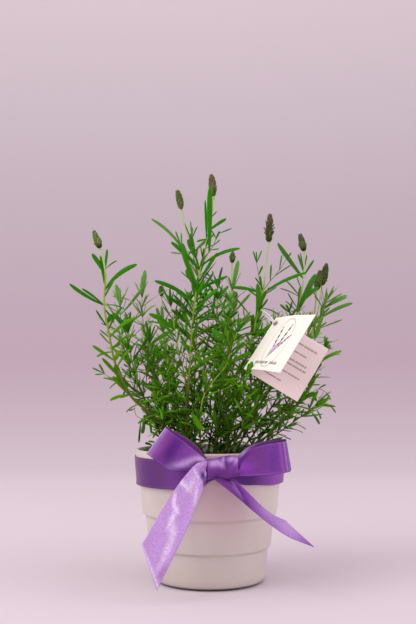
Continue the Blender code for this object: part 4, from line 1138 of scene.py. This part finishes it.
# Each flower spike: its tip, how brown it is above, how far its scales stand open, how light it is
# at the foot and at the tip, and its radius at each of these shares of its length
SPIKE_SHARES = (0.0, 0.07, 0.2, 0.4, 0.6, 0.8, 0.93, 1.0)
SPIKES = {
    "stem_left": ((-101, -30, 303.5), 0.35, 0.0, (1.4, 1.6),
        (1.6, 3.4, 4.2, 4.0, 3.4, 2.6, 1.8, 0.7)),
    "stem_centre": ((1.3, -16, 356.2), 0.9, 0.1, (1.1, 1.6),
        (1.6, 3.0, 3.8, 3.9, 3.7, 3.1, 2.2, 0.9)),
    "stem_centre_slim": ((-29.6, 10, 347.6), 0.1, 0.0, (1.15, 1.2),
        (1.5, 2.5, 3.1, 3.4, 3.4, 3.0, 2.3, 1.1)),
    "stem_right_tall": ((53, -20, 320), 0.75, 1.3, (0.5, 1.3),
        (1.8, 3.4, 3.0, 2.8, 2.9, 2.6, 2.0, 1.0)),
    "stem_right": ((81.5, 5, 306.5), 0.4, 0.05, (0.95, 1.15),
        (1.6, 3.5, 4.3, 4.0, 3.4, 2.8, 2.2, 1.0)),
    "stem_right_back": ((112, 52, 286), 0.35, 0.2, (0.7, 0.75),
        (1.6, 3.2, 4.2, 4.3, 3.8, 3.0, 2.0, 0.6)),
    "stem_right_inner": ((103.5, 34, 277), 0.35, 0.15, (0.9, 1.0),
        (1.6, 3.2, 4.0, 4.0, 3.5, 2.7, 1.9, 0.6)),
    "stem_back_tall": ((22.4, 60, 298.5), 0.25, 0.0, (0.9, 0.9),
        (1.2, 2.5, 3.2, 3.2, 2.8, 2.1, 1.3, 0.4)),
    "stem_back": ((25.7, 71, 260.5), 0.25, 0.0, (0.9, 0.9),
        (1.2, 2.7, 3.5, 3.5, 3.0, 2.3, 1.4, 0.4)),
    "stem_back_left": ((-47, 60, 265), 0.25, 0.0, (0.95, 1.0),
        (1.0, 2.2, 2.8, 2.8, 2.5, 1.9, 1.2, 0.4)),
}
SPIKE_START = 1.0
SPIKE_SHORTER = 1.3
SCALE_ROW_STEP = 2.3
SCALE_LENGTH = 4.8


def grow_spike(name, material):
    """A spike of closed buds: rings of overlapping scales round a pointed core, on a short stalk
    that reaches down into the stem."""
    tip, brown, open_share, light, radii = SPIKES[name]
    rng = Random(name)
    base, tip = np.array(STEMS[name][1][-1], float), np.array(tip, float)
    way = unit(tip - base)
    base = base + way * SPIKE_START
    length = np.linalg.norm(tip - base) - SPIKE_SHORTER
    solid, scales = Solid(), Leaves()

    def girth_at(share):
        return float(np.interp(share, SPIKE_SHARES, radii))

    solid.tube(base + way * np.array((-3.0, 0.4, 1.2))[:, None], (0.66, 0.9, 1.3), STALK, 8)
    shares = np.linspace(0.0, 0.97, 14)
    solid.tube(base + way * (shares * length)[:, None], [girth_at(s) * 0.66 for s in shares],
               BUD_GREEN * 0.4, 8)
    rows = max(6, round(length / SCALE_ROW_STEP))
    for row in range(rows):
        share = 0.01 + 0.91 * row / (rows - 1)
        girth = girth_at(share)
        slope = min(0.25, (girth_at(min(1.0, share + 0.12)) - girth) / (0.12 * length))
        level = light[0] + (light[1] - light[0]) * share
        around = 7 if girth > 3.2 else 6 if girth > 1.8 else 4
        for k in range(around):
            turn = TURN * (k + 0.5 * (row % 2)) / around + rng.uniform(-0.1, 0.1)
            out, _ = across_pair(way, turn)
            opened = open_share * math.exp(-((share - 0.42) / 0.25) ** 2) * rng.uniform(0.2, 1.2)
            start = base + way * (share * length) + out * girth * 0.55
            long = SCALE_LENGTH * rng.uniform(0.85, 1.1) * (0.7 + 0.3 * girth / max(radii))
            long = min(long, (1.0 - share) * length + 0.9)
            tint = BUD_GREEN + (BUD_PALE * 0.45 - BUD_GREEN) * rng.uniform(0.0, 0.35)
            dusk = min(1.0, brown * max(0.0, share - 0.22) * 2.4 * rng.uniform(0.7, 1.2))
            tint = tint + (BUD_BROWN - tint) * dusk
            scale_way = unit(way + out * (slope + 0.26 + 0.75 * opened))
            scales.add(start, scale_way, out - way * 0.2, long,
                       TURN * girth * 0.74 / around + 0.3, 0, rng.uniform(-10, 10),
                       tint * level, 0.6)
    scales.build(solid, SCALE, vein=0.75, back=BUD_PALE, margin=BUD_PALE)
    spike = name.replace("stem", "flower_spike")
    place_piece(name.replace("stem", "bud_spike"), solid.mesh(spike), material, [spike])


# ---------------------------------------------------------------- sheets: ribbon and card

STRIP_CELLS = 26


def strip_grid(stations, per_span):
    """Rows of points across a strip between its two smoothed edges."""
    first = smooth_curve([a for a, _ in stations], per_span)
    second = smooth_curve([b for _, b in stations], per_span)
    t = np.linspace(0.0, 1.0, STRIP_CELLS + 1)[None, :, None]
    return first[:, None] * (1 - t) + second[:, None] * t


def grid_normals(grid, wrap=False):
    if wrap:
        padded = np.concatenate([grid[-1:], grid, grid[:1]])
        along = (padded[2:] - padded[:-2]) / 2
    else:
        along = np.gradient(grid, axis=0)
    return unit(np.cross(along, np.gradient(grid, axis=1)))


def sheet_piece(name, grid, thickness, tints, back_tints=None, wrap=False, keep=None):
    """A closed thin sheet round a grid of points, and its length. How far each point is across and
    along it is stored for its weave. Cells that keep leaves out are holes."""
    rows, columns = grid.shape[:2]
    normals = grid_normals(grid, wrap)
    sides = np.stack([grid + normals * thickness / 2, grid - normals * thickness / 2])
    index = np.arange(2 * rows * columns).reshape(2, rows, columns)
    keep = np.ones((rows if wrap else rows - 1, columns - 1), bool) if keep is None else keep
    quads = []

    def corners(side, i, j):
        after = (i + 1) % rows
        return (index[side, i, j], index[side, after, j], index[side, after, j + 1],
                index[side, i, j + 1])

    def kept(i, j):
        if wrap:
            i %= rows
        return 0 <= i < keep.shape[0] and 0 <= j < keep.shape[1] and keep[i, j]

    for i in range(keep.shape[0]):
        for j in range(keep.shape[1]):
            if not keep[i, j]:
                continue
            front, back = corners(0, i, j), corners(1, i, j)
            quads += [front, back[::-1]]
            for edge, other in ((0, (i, j - 1)), (1, (i + 1, j)), (2, (i, j + 1)), (3, (i - 1, j))):
                if not kept(*other):
                    a, b = edge, (edge + 1) % 4
                    quads.append((front[b], front[a], back[a], back[b]))
    solid = Solid()
    back_tints = tints if back_tints is None else back_tints
    both_tints = np.stack([np.broadcast_to(t, grid.shape) for t in (tints, back_tints)])
    solid.add(sides, np.array(quads), both_tints)
    mesh = solid.mesh(name)
    step = np.linalg.norm(np.diff(grid.mean(1), axis=0), axis=1)
    along = np.concatenate([[0.0], np.cumsum(step)])
    span = np.zeros((2, rows, columns, 3), np.float32)
    span[..., 0] = np.linspace(0.0, RIBBON_WIDTH, columns)[None, None, :]
    span[..., 1] = along[None, :, None]
    mesh.attributes.new("span", "FLOAT_VECTOR", "POINT").data.foreach_set("vector", span.ravel())
    return mesh, along[-1]


def painted(grid, base, marks, rows=(0.0, 1.0)):
    """Tints over a grid: soft-edged marks, each (x, z, tilt in degrees, half length, half width,
    colour, strength), on the rows from one share of the strip's length to another."""
    tints = np.broadcast_to(base, grid.shape).copy()
    share = np.linspace(0.0, 1.0, len(grid))[:, None, None]
    inside = ((share >= rows[0]) & (share <= rows[1])).astype(float)
    for x, z, tilt, long, wide, colour, strength in marks:
        turn = math.radians(tilt)
        dx, dz = grid[..., 0] - x, grid[..., 2] - z
        a = dx * math.cos(turn) + dz * math.sin(turn)
        b = dz * math.cos(turn) - dx * math.sin(turn)
        weight = strength * np.exp(-(a / long) ** 2 - (b / wide) ** 2)[..., None] * inside
        tints += (colour - tints) * weight
    return tints


def lifted(grid, relief):
    return grid + grid_normals(grid) * relief[..., None]


def strip_shares(grid):
    """How far each row is along a strip, as a column, and each point across it, as a row."""
    rows, columns = grid.shape[:2]
    return np.linspace(0.0, 1.0, rows)[:, None], np.linspace(0.0, 1.0, columns)[None, :]


def ribbon_piece(name, grid, tints, material, node, back_tints=None):
    """A stretch of ribbon that leaves the knot."""
    mesh, length = sheet_piece(name, grid, RIBBON_THICKNESS, tints, back_tints)
    piece = place_piece(name, mesh, material, [node])
    round(length * MM, 4)


def build_left_loop(material):
    grid = strip_grid(LOOP_LEFT, 12)
    s, t = strip_shares(grid)
    near_knot = np.exp(-(s / 0.16) ** 2)
    relief = near_knot * (1.6 * np.cos(TURN * (1.25 * t + 0.1)) - 0.4)
    relief = relief + 1.5 * np.exp(-((s - 0.2) / 0.1) ** 2 - ((t - 0.75) / 0.2) ** 2)
    grid = lifted(grid, -relief)
    fold = 0.5
    # Painted light and shade on the satin: shaded bands in deep violet, painted highlights in rosy
    # violet and lilac
    tints = painted(grid, VIOLET, (
        (-31.5, 117.2, 53, 22, 6.2, DEEP_VIOLET, 0.9), (-39, 119.5, 54, 14, 2.8, ROSY_VIOLET, 0.7),
        (-31.0, 103.5, -33, 12, 3.4, DEEP_VIOLET, 0.7),
        (-39.5, 108.5, 60, 7, 3.0, ROSY_VIOLET, 0.4),
        (-19.9, 115.5, 50, 8, 5, VIOLET * 1.25, 0.6),
        (-18.5, 108.0, 16, 14.0, 3.8, LILAC * 0.75, 0.8),
        (-16.5, 108.8, 15, 8.5, 2.3, LILAC * 1.4, 0.9), (-7.5, 110.2, 0, 6.0, 1.6, LILAC, 0.8),
        (-21, 101.6, 4, 11, 2.2, DEEP_VIOLET * 1.1, 0.9),
        (-11, 104.6, 22, 5, 1.4, DEEP_VIOLET * 1.3, 0.7),
    ), (0.0, fold))
    along = s[..., None]
    # Painted highlights along the outer fold: a lilac band and a near-white line
    tints += (LILAC * 0.8 - tints) * np.exp(-((along - 0.385) / 0.030) ** 2) * 0.5
    tints += (PALE_LILAC * 1.15 - tints) * np.exp(-((along - 0.478) / 0.056) ** 4) * 0.95
    # The back layer in painted shade
    tints = np.where(along > fold + 0.04, DUSKY_VIOLET * 1.1, tints)
    ribbon_piece("satin_loop_left", grid, tints, material, "bow_loop_left")


def build_right_loop(material):
    grid = strip_grid(LOOP_RIGHT, 12)
    s, t = strip_shares(grid)
    relief = np.exp(-(s / 0.12) ** 2) * 0.8 * np.cos(TURN * (1.5 * t))
    relief = relief - 0.5 * np.exp(-((s - 0.3) / 0.12) ** 2 - ((t - 0.5) / 0.4) ** 2)
    grid = lifted(grid, -relief)
    # Painted shade in dusky and deep violet, and painted highlights in lighter violet
    tints = painted(grid, VIOLET * 0.95, (
        (38.8, 111, 70, 11, 8, DUSKY_VIOLET * 1.35, 0.7),
        (51.5, 110, 85, 14, 5, DEEP_VIOLET * 1.7, 0.55), (28, 104, 10, 9, 5, VIOLET * 1.35, 0.7),
        (27, 112.5, 48, 9, 1.8, DEEP_VIOLET, 0.75),
        (42, 98.6, 3, 22, 0.9, VIOLET * 1.5, 0.6),
    ), (0.0, 0.44))
    along = s[..., None]
    # Painted highlights along the fold
    for place, width, colour, strength in ((0.415, 0.007, ROSY_VIOLET * 1.6, 0.6),
                                           (0.447, 0.007, LILAC, 0.5), (0.48, 0.008, LILAC, 0.4)):
        tints += (colour - tints) * np.exp(-((along - place) / width) ** 2) * strength
    # The inner face in painted shade, with a painted lilac highlight
    inside = painted(grid, DUSKY_VIOLET * 0.9, (
        (26, 116, 50, 7, 6, LILAC, 0.95), (33, 121, 20, 8, 2, VIOLET * 1.6, 0.6),
        (57, 125, 0, 9, 2.0, DEEP_VIOLET * 0.6, 0.9)))
    tints = np.where(along > 0.6, inside, tints)
    ribbon_piece("satin_loop_right", grid, tints, material, "bow_loop_right")


def build_left_tail(material):
    grid = strip_grid(TAIL_LEFT, 14)
    s, t = strip_shares(grid)
    pocket = np.exp(-((s - 0.16) / 0.1) ** 2 - ((t - 0.86) / 0.09) ** 2)
    ridge = np.exp(-((s - 0.14) / 0.12) ** 2 - ((t - 0.68) / 0.08) ** 2)
    waves = 0.45 * np.sin(TURN * (2.1 * s + 0.35 * t)) * np.clip(s * 3, 0, 1)
    cup = 1.2 * ((2 * t - 1) ** 2 - 0.5) * np.clip(1 - s * 1.4, 0.15, 1)
    grid = lifted(grid, -(1.4 * ridge - 2.0 * pocket + waves - cup * 0.6))
    # The tail's lilac is painted light where it faces the lamp, with painted highlights in pale
    # lilac, painted shade in the pocket by the knot, and rosy and lilac painted highlights at its
    # top
    tints = painted(grid, LILAC * 0.98, (
        (-21, 92, -48, 9, 2.0, PALE_LILAC, 0.75), (-14.5, 92, 60, 5, 3, PALE_LILAC, 0.5),
        (-28, 80, 84, 6, 1.4, PALE_LILAC, 0.95), (-26.6, 73, -62, 5, 1.4, PALE_LILAC, 0.95),
        (-30, 65, 66, 7, 1.6, PALE_LILAC, 0.95), (-29, 56, 84, 7, 2.6, PALE_LILAC, 0.75),
        (-33, 43, 66, 8, 2.4, PALE_LILAC, 0.65), (-38, 31, 60, 7, 2.0, PALE_LILAC, 0.4),
        (-11, 84, 80, 8, 1.5, PALE_LILAC, 0.6), (-22, 70, 64, 14, 2.5, LILAC * 0.8, 0.5),
        (-37.5, 24, 64, 8, 2.6, LILAC * 0.55, 0.75), (-47, 48, 60, 10, 4, LILAC * 0.9, 0.5),
        (-5.4, 97.2, -66, 6.0, 2.2, DEEP_VIOLET * 1.2, 0.98),
        (-4.4, 92, 88, 3.4, 1.3, DEEP_VIOLET * 1.2, 0.9), (-10.5, 99, -62, 6, 1.0, PALE_LILAC, 0.5),
        (-4.2, 104.5, -40, 3.4, 2.2, ROSY_VIOLET * 1.3, 0.8),
        (-8, 107, -15, 5, 1.2, LILAC * 1.1, 0.7),
    ))
    # A painted highlight along the tail's end
    tints += (PALE_LILAC - tints) * np.exp(-((s[..., None] - 0.985) / 0.008) ** 2) * 0.6
    # The underside in painted shade
    ribbon_piece("satin_tail_left", grid, tints, material, "bow_tail_left",
                 DUSKY_VIOLET * 1.2)


def build_right_tail(material):
    grid = strip_grid(TAIL_RIGHT, 14)
    s, t = strip_shares(grid)
    crease = np.exp(-(s / 0.32) ** 2 - ((t - 0.3) / 0.12) ** 2) * 2.2
    curl = 1.0 * np.sin(math.pi * t) * np.exp(-((s - 0.55) / 0.3) ** 2)
    grid = lifted(grid, crease + curl)
    # Painted light and shade: a lighter violet, painted shade in dusky and deep violet along the
    # crease, and lilac painted highlights
    tints = painted(grid, VIOLET * 1.25, (
        (13, 90, -40, 14, 5, DUSKY_VIOLET * 1.5, 0.8), (19, 90.5, -60, 5, 1.4, LILAC, 0.45),
        (17, 94, 0, 7, 1.5, DEEP_VIOLET, 0.6), (24, 79, -38, 10, 2.0, DUSKY_VIOLET, 0.6),
        (24.5, 84, -59, 11, 0.8, DEEP_VIOLET, 0.85), (22.6, 84.6, -59, 9, 0.9, LILAC * 0.7, 0.5),
        (28, 77.5, -50, 5, 1.6, DEEP_VIOLET, 0.6), (30.5, 82.4, -46, 9, 1.1, VIOLET * 1.8, 0.6),
        (47, 68, -36, 12, 5, LILAC * 0.85, 0.75),
        (62, 57, -35, 14, 7, LILAC * 0.95, 0.85),
    ))
    ribbon_piece("satin_tail_right", grid, tints, material, "bow_tail_right")


def build_knot(material):
    """The middle of the bow: ribbon wrapped once round it, pinched and creased."""
    around, across, power = 64, 34, 0.72
    places, lower, upper = np.array(KNOT_OUTLINE).T
    xs = np.linspace(places[0], places[-1], across)
    low, high = np.interp(xs, places, lower), np.interp(xs, places, upper)
    turns = np.linspace(0.0, TURN, around, endpoint=False)
    y = -np.sign(np.cos(turns)) * np.abs(np.cos(turns)) ** power
    z = np.sign(np.sin(turns)) * np.abs(np.sin(turns)) ** power
    middle, half = (low + high) / 2, (high - low) / 2
    grid = np.stack([np.broadcast_to(xs[None], (around, across)),
                     KNOT_MIDDLE + KNOT_HALF_DEPTH * y[:, None] * np.ones((1, across)),
                     middle[None] + half[None] * z[:, None]], axis=-1)
    x, height = grid[..., 0], grid[..., 2]
    front = np.clip(np.cos(turns)[:, None], 0, 1)
    line = np.interp(height, (94, 98, 105, 110, 113), (15.4, 14.7, 13.3, 12.9, 11.4))
    crease = -1.1 * np.exp(-((x - line) / 0.8) ** 2) + 0.7 * np.exp(-((x - line + 1.9) / 1.2) ** 2)
    crease = crease + 0.35 * np.exp(-((x - 17.5) / 1.0) ** 2) - 0.4 * np.exp(-((x - 20) / 1.2) ** 2)
    grid[..., 1] -= crease * front * np.clip((height - 96) / 10, 0.2, 1.0)
    # Painted highlights in lilac and painted shade in deep and dusky violet along the creases; the
    # back is plain violet
    tints = painted(grid, VIOLET * 0.9, (
        (3, 107.0, 5, 5, 2.6, LILAC, 0.8), (8.6, 106.6, -30, 4.5, 1.8, LILAC, 0.7),
        (10.6, 110.2, 80, 3, 1.0, LILAC, 0.7), (7.5, 99.5, 0, 9, 3.0, DUSKY_VIOLET, 0.75),
        (13.3, 107, 95, 5, 0.9, DEEP_VIOLET, 0.85), (13.0, 103, 100, 5, 1.6, DUSKY_VIOLET, 0.7),
        (17.5, 110.8, 15, 3.4, 1.8, LILAC, 0.85), (21, 109.4, 60, 4, 1.2, LILAC * 1.1, 0.8),
        (18.5, 101, 90, 6, 3, VIOLET * 0.9, 0.7), (14.8, 95.0, 10, 6, 0.9, DEEP_VIOLET, 0.8),
        (-1.6, 102, 90, 9, 0.7, DEEP_VIOLET, 0.5),
    ))
    behind = (turns > math.pi * 0.6) & (turns < math.pi * 1.4)
    tints = np.where(behind[:, None, None], VIOLET, tints)
    mesh, _ = sheet_piece("satin_knot", grid, KNOT_THICKNESS, tints, wrap=True)
    piece = place_piece("satin_knot", mesh, material, ["bow_knot"])


def build_band(material):
    """The ribbon round the collar, a little higher on the right and drawn in at the knot."""
    sides, cells = 168, 20
    turns = np.arange(sides) * TURN / sides
    lift = BAND_TILT * np.cos(turns)
    past_knot = (turns - math.radians(BAND_KNOT_TURN) + math.pi) % TURN
    off_knot = np.degrees(np.abs(past_knot - math.pi))
    draw = 3.0 * np.maximum(0.0, 1.0 - off_knot / 22.0)
    gathered = 6.0 * np.exp(-(off_knot / 12.0) ** 4)
    t = np.linspace(0.0, 1.0, cells + 1)[None]
    tucked = 2.4 * np.exp(-((np.degrees(turns) - 299.0) / 17.0) ** 2)
    low = BAND_FOOT + lift + draw + gathered + tucked
    high = BAND_FOOT + RIBBON_WIDTH + lift - draw
    height = low[:, None] * (1 - t) + high[:, None] * t
    radius = np.maximum(wall_radius(height), TIERS[3][1]) + CLEARANCE + RIBBON_THICKNESS
    radius = radius + 0.12 * np.sin(5 * turns[:, None] + 6 * t) + 0.5 * np.sin(math.pi * t) * (
        np.exp(-(off_knot[:, None] / 30) ** 2))
    grid = np.stack([radius * np.cos(turns)[:, None], radius * np.sin(turns)[:, None], height],
                    axis=-1)
    # Painted light and shade round the band: dusky violet away from the light and lighter violet
    # towards +X, then painted shade and highlights at its folds
    shade = 0.5 + 0.5 * np.cos(turns[:, None, None] - math.radians(20))
    tints = DUSKY_VIOLET * (1 - shade) + VIOLET * 1.25 * shade
    tints = tints * np.ones((1, cells + 1, 1))
    for middle, reach, colour, amount in (
            (218, 12, DEEP_VIOLET, 0.4), (245, 8, VIOLET * 1.35, 0.5), (300, 11, DEEP_VIOLET, 0.85),
            (328, 6, VIOLET * 1.6, 0.5), (347, 9, DEEP_VIOLET, 0.35)):
        fold = np.exp(-((np.degrees(turns) - middle) / reach) ** 2)[:, None, None]
        tints += (colour - tints) * fold * amount
    mesh, _ = sheet_piece("satin_band", grid, RIBBON_THICKNESS, tints, wrap=True)
    piece = place_piece("satin_band", mesh, material, ["ribbon_band"])


def near_line(u, v, points):
    """Distance of each place (u, v) from a line of points, and the share along it."""
    best = np.full(u.shape, 1e9)
    share = np.zeros(u.shape)
    total = len(points) - 1
    for i, ((a, b), (c, d)) in enumerate(zip(points, points[1:])):
        run = np.array((c - a, d - b))
        along = np.clip(((u - a) * run[0] + (v - b) * run[1]) / run.dot(run), 0, 1)
        away = np.hypot(u - a - along * run[0], v - b - along * run[1])
        share = np.where(away < best, (i + along) / total, share)
        best = np.minimum(best, away)
    return best, share


def ink_on(tints, weight, colour):
    return tints + (colour - tints) * np.clip(weight, 0, 1)[..., None]


def word_bars(u, v, start, end, line, tall, pitch):
    """How inked each place is in a row of plain upright bars that stands for a line of words."""
    bars = 0.5 + 0.5 * np.sin(TURN * u / pitch + 1.7 * np.sin(u * 0.83))
    inside = np.clip((tall / 2 - np.abs(v - line)) / 0.3, 0, 1) * (u > start) * (u < end)
    return inside * np.clip(bars * 1.5, 0.15, 1)


def cover_print(u, v):
    """A plain oval line round a simple sprig, on card painted darker near the fold as shade; u runs
    from the fold and v down.
    """
    shade = 1.0 - 0.24 * np.exp(-(u / 14) ** 2) * (0.35 + 0.65 * v / TAG_HEIGHT)
    tints = CREAM_CARD * shade[..., None]
    oval = np.abs(np.hypot((u - 27) / 11.5, (v - 27) / 23.5) - 1.0) * 11.5
    tints = ink_on(tints, (0.5 - oval) / 0.5 * 0.8, PENCIL)
    leaf, along = near_line(u, v, ((24, 40), (27, 32), (32, 25)))
    tints = ink_on(tints, (3.0 * np.sin(math.pi * along) - leaf) / 0.6, SPRIG_LEAF)
    for stem in (((23, 44), (24, 30), (22, 12)), ((24, 42), (29, 28), (32, 10)),
                 ((25, 40), (31, 30), (37, 20))):
        away, along = near_line(u, v, stem)
        buds = (along > 0.45) * (0.45 + 0.35 * np.sin(along * 44))
        tints = ink_on(tints, (0.4 + buds - away) / 0.3, INK * 0.8)
    for start, end in ((12, 29.5), (31.5, 41)):
        tints = ink_on(tints, word_bars(u, v, start, end, 46.5, 3.0, 1.9), PENCIL * 0.45)
    return tints


def inside_print(u, v):
    """Plain rows of bars, on card painted darker near the fold as shade; u runs from the fold and v
    down.
    """
    tints = PINK_CARD * (0.9 + 0.1 * np.clip(u / 25, 0, 1))[..., None]
    for start, end, height in ((18, 46, 9), (24, 40, 17), (14, 44, 25), (14, 46, 29),
                               (14, 44, 37), (10, 32, 46)):
        tints = ink_on(tints, word_bars(u, v, start, end, height, 1.7, 1.7), PENCIL * 0.5)
    return tints


def build_tag(material):
    """A card folded in two, with a round hole through both panels near the fold."""
    down, cover, back = tag_ways()
    across, high = 164, 84
    u, v = np.meshgrid(np.linspace(-TAG_WIDTH, TAG_WIDTH, across + 1),
                       np.linspace(0.0, TAG_HEIGHT, high + 1), indexing="ij")
    keep = np.ones((across, high), bool)
    for side in (-1, 1):
        du, dv = u - side * TAG_HOLE_INSET, v - TAG_HOLE_DROP
        reach = np.hypot(du, dv)
        inside = reach < TAG_HOLE_RADIUS
        gone = inside[:-1, :-1] & inside[1:, :-1] & inside[:-1, 1:] & inside[1:, 1:]
        keep &= ~gone
        touched = np.zeros(u.shape, bool)
        rim = np.zeros(u.shape, bool)
        for di in (0, 1):
            for dj in (0, 1):
                touched[di:across + di, dj:high + dj] |= gone
                rim[di:across + di, dj:high + dj] |= ~gone
        edge = touched & rim
        scale = TAG_HOLE_RADIUS / np.maximum(reach, 1e-6)
        u[edge] = (side * TAG_HOLE_INSET + du * scale)[edge]
        v[edge] = (TAG_HOLE_DROP + dv * scale)[edge]
    fold = 1.1
    out = unit(cover + back)
    soft = np.sqrt(u * u + fold * fold) - fold
    share = u / TAG_WIDTH
    bow = 1.1 * np.sin(math.pi * np.clip(share, 0, 1)) ** 2
    sag = 0.6 * np.sin(math.pi * np.clip(-share, 0, 1))
    flare = np.where(u > 0, 1.0 + 0.07 * u / TAG_WIDTH, 1.0)
    grid = (TAG_CORNER + down * (TAG_HEIGHT / 2 + (v - TAG_HEIGHT / 2) * flare)[..., None]
            + np.where(u[..., None] > 0, cover, back) * soft[..., None]
            + out * (-0.2 * np.exp(-(u / 2) ** 2))[..., None])
    grid = grid + np.cross(cover, down) * -bow[..., None] + np.cross(back, down) * sag[..., None]
    outer = np.where(u[..., None] > 0, cover_print(u, v), CREAM_CARD)
    inner = np.where(u[..., None] < 0, inside_print(-u, v), PINK_CARD)
    mesh, _ = sheet_piece("folded_tag", grid, TAG_CARD, inner, outer, keep=keep)
    clean_loose(mesh)
    place_piece("folded_tag", mesh, material, ["gift_tag"])


def clean_loose(mesh):
    """Take out the points that no face uses, inside the punched holes."""
    bm = bmesh.new()
    bm.from_mesh(mesh)
    bmesh.ops.delete(bm, geom=[v for v in bm.verts if not v.link_faces], context="VERTS")
    bm.to_mesh(mesh)
    bm.free()
    mesh.shade_smooth()


def build_string(material, shaded_knot_material):
    """The string as one line through both holes, with the small hitch that holds it there; the
    hitch is tinted dark grey as painted shade in its windings.
    """
    hitch = Solid()
    turns = np.linspace(0.0, TURN, 40)
    down, cover, _ = tag_ways()
    middle = TAG_CORNER + down * (TAG_HOLE_DROP + 0.8) + cover * (TAG_HOLE_INSET + 0.8)
    before = np.cross(cover, down)
    before = -before * np.sign(before[1])
    swing = 1.5 + 0.55 * np.cos(3 * turns)
    loop = (middle + before * (0.9 + 0.5 * np.sin(3 * turns))[:, None]
            + cover * (swing * np.cos(2 * turns))[:, None]
            + down * (swing * np.sin(2 * turns))[:, None])
    hitch.tube(loop, np.full(40, HITCH_RADIUS), WHITE, 8)
    knot = add_object("string_hitch", hitch.mesh("string_hitch"))
    knot.data.materials.append(shaded_knot_material)
    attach(knot, "root")

    curve = bpy.data.curves.new("cotton_string", "CURVE")
    curve.dimensions = "3D"
    curve.bevel_depth = STRING_DIAMETER / 2 * MM
    curve.bevel_resolution = 3
    curve.use_fill_caps = True
    points = smooth_curve(STRING_ROUTE, 3)
    spline = curve.splines.new("POLY")
    spline.points.add(len(points) - 1)
    for place, point in zip(spline.points, points):
        place.co = (*(point * MM), 1.0)
    piece = place_piece("cotton_string", curve, material, ["tag_string"])


# ---------------------------------------------------------------- studio

def build_studio():
    """A pale sweep of paper under and behind the part, with painted light and shade along it, two
    soft side lights and an even fill.
    """
    finish = Finish("backdrop_paper", Roughness=0.9, Specular_IOR_Level=0.1)
    # The ramp paints light and shade along the sweep: lighter near the pot and at the top, darker
    # between
    rise = (finish.along("Z") + finish.along("Y") * 0.1 + 0.05) * SWEEP_SCALE
    ramp = finish.node("ShaderNodeValToRGB", {"color_ramp": SWEEP}, {"Fac": rise})
    grain = finish.noise(300.0, 2.0)
    paper = finish.surface(Base_Color=finish.lit(ramp, grain * 0.02 + 0.99))
    turns = np.linspace(0.1, math.pi / 2, 14)
    profile = [(-2.5, 0.0), (1.0, 0.0), *((1.0 + 0.7 * math.sin(a), 0.7 * (1 - math.cos(a)))
                                          for a in turns), (1.7, 3.0)]
    points = [(x, y, z) for y, z in profile for x in (-4.0, 4.0)]
    faces = [(2 * k, 2 * k + 1, 2 * k + 3, 2 * k + 2) for k in range(len(profile) - 1)]
    mesh = bpy.data.meshes.new("backdrop")
    mesh.from_pydata(points, [], faces)
    mesh.shade_smooth()
    mesh.materials.append(paper)
    add_object("backdrop", mesh)

    def soft_light(name, energy, size, place, colour):
        data = bpy.data.lights.new(name, "AREA")
        data.energy, data.size, data.color = energy, size, colour
        light = add_object(name, data)
        light.location = place
        light.rotation_euler = (Vector((0, 0, 0.14)) - Vector(place)).to_track_quat(
            "-Z", "Y").to_euler()

    soft_light("window", 15.0, 1.3, (-1.25, -0.75, 1.15), (1.0, 0.97, 0.93))
    soft_light("right_window", 7.0, 1.3, (1.35, -0.5, 0.8), (1.0, 0.96, 0.97))
    world = bpy.data.worlds.new("studio")
    world.use_nodes = True
    background = world.node_tree.nodes["Background"]
    background.inputs["Color"].default_value = (0.98, 0.90, 0.95, 1.0)
    background.inputs["Strength"].default_value = 0.92
    bpy.context.scene.world = world
    bpy.context.scene.view_settings.view_transform = "Standard"


def main():
    build_camera()
    # The hitch is the same cotton, tinted dark grey as painted shade in the knot
    build_string(string_finish("cotton_string", (0.92, 0.90, 0.86)),
                 string_finish("cotton_hitch_painted_shade", (0.30, 0.29, 0.27)))
    build_pot(glaze_finish())
    build_soil(peat_finish())
    leaf, bud = leaf_finish(), bud_finish()
    for number, name in enumerate(STEMS):
        grow_stem(name, leaf, number)
        if name in SPIKES:
            grow_spike(name, bud)
    build_band(satin_finish("satin_round_the_pot", 0.25))
    build_knot(satin_finish("satin_of_the_knot", 0.25))
    build_left_loop(satin_finish("satin_of_the_left_loop", 0.17))
    build_right_loop(satin_finish("satin_of_the_right_loop", 0.25))
    build_left_tail(satin_finish("satin_of_the_left_tail", 0.08))
    build_right_tail(satin_finish("satin_of_the_right_tail", 0.2))
    build_tag(card_finish())
    build_studio()


main()
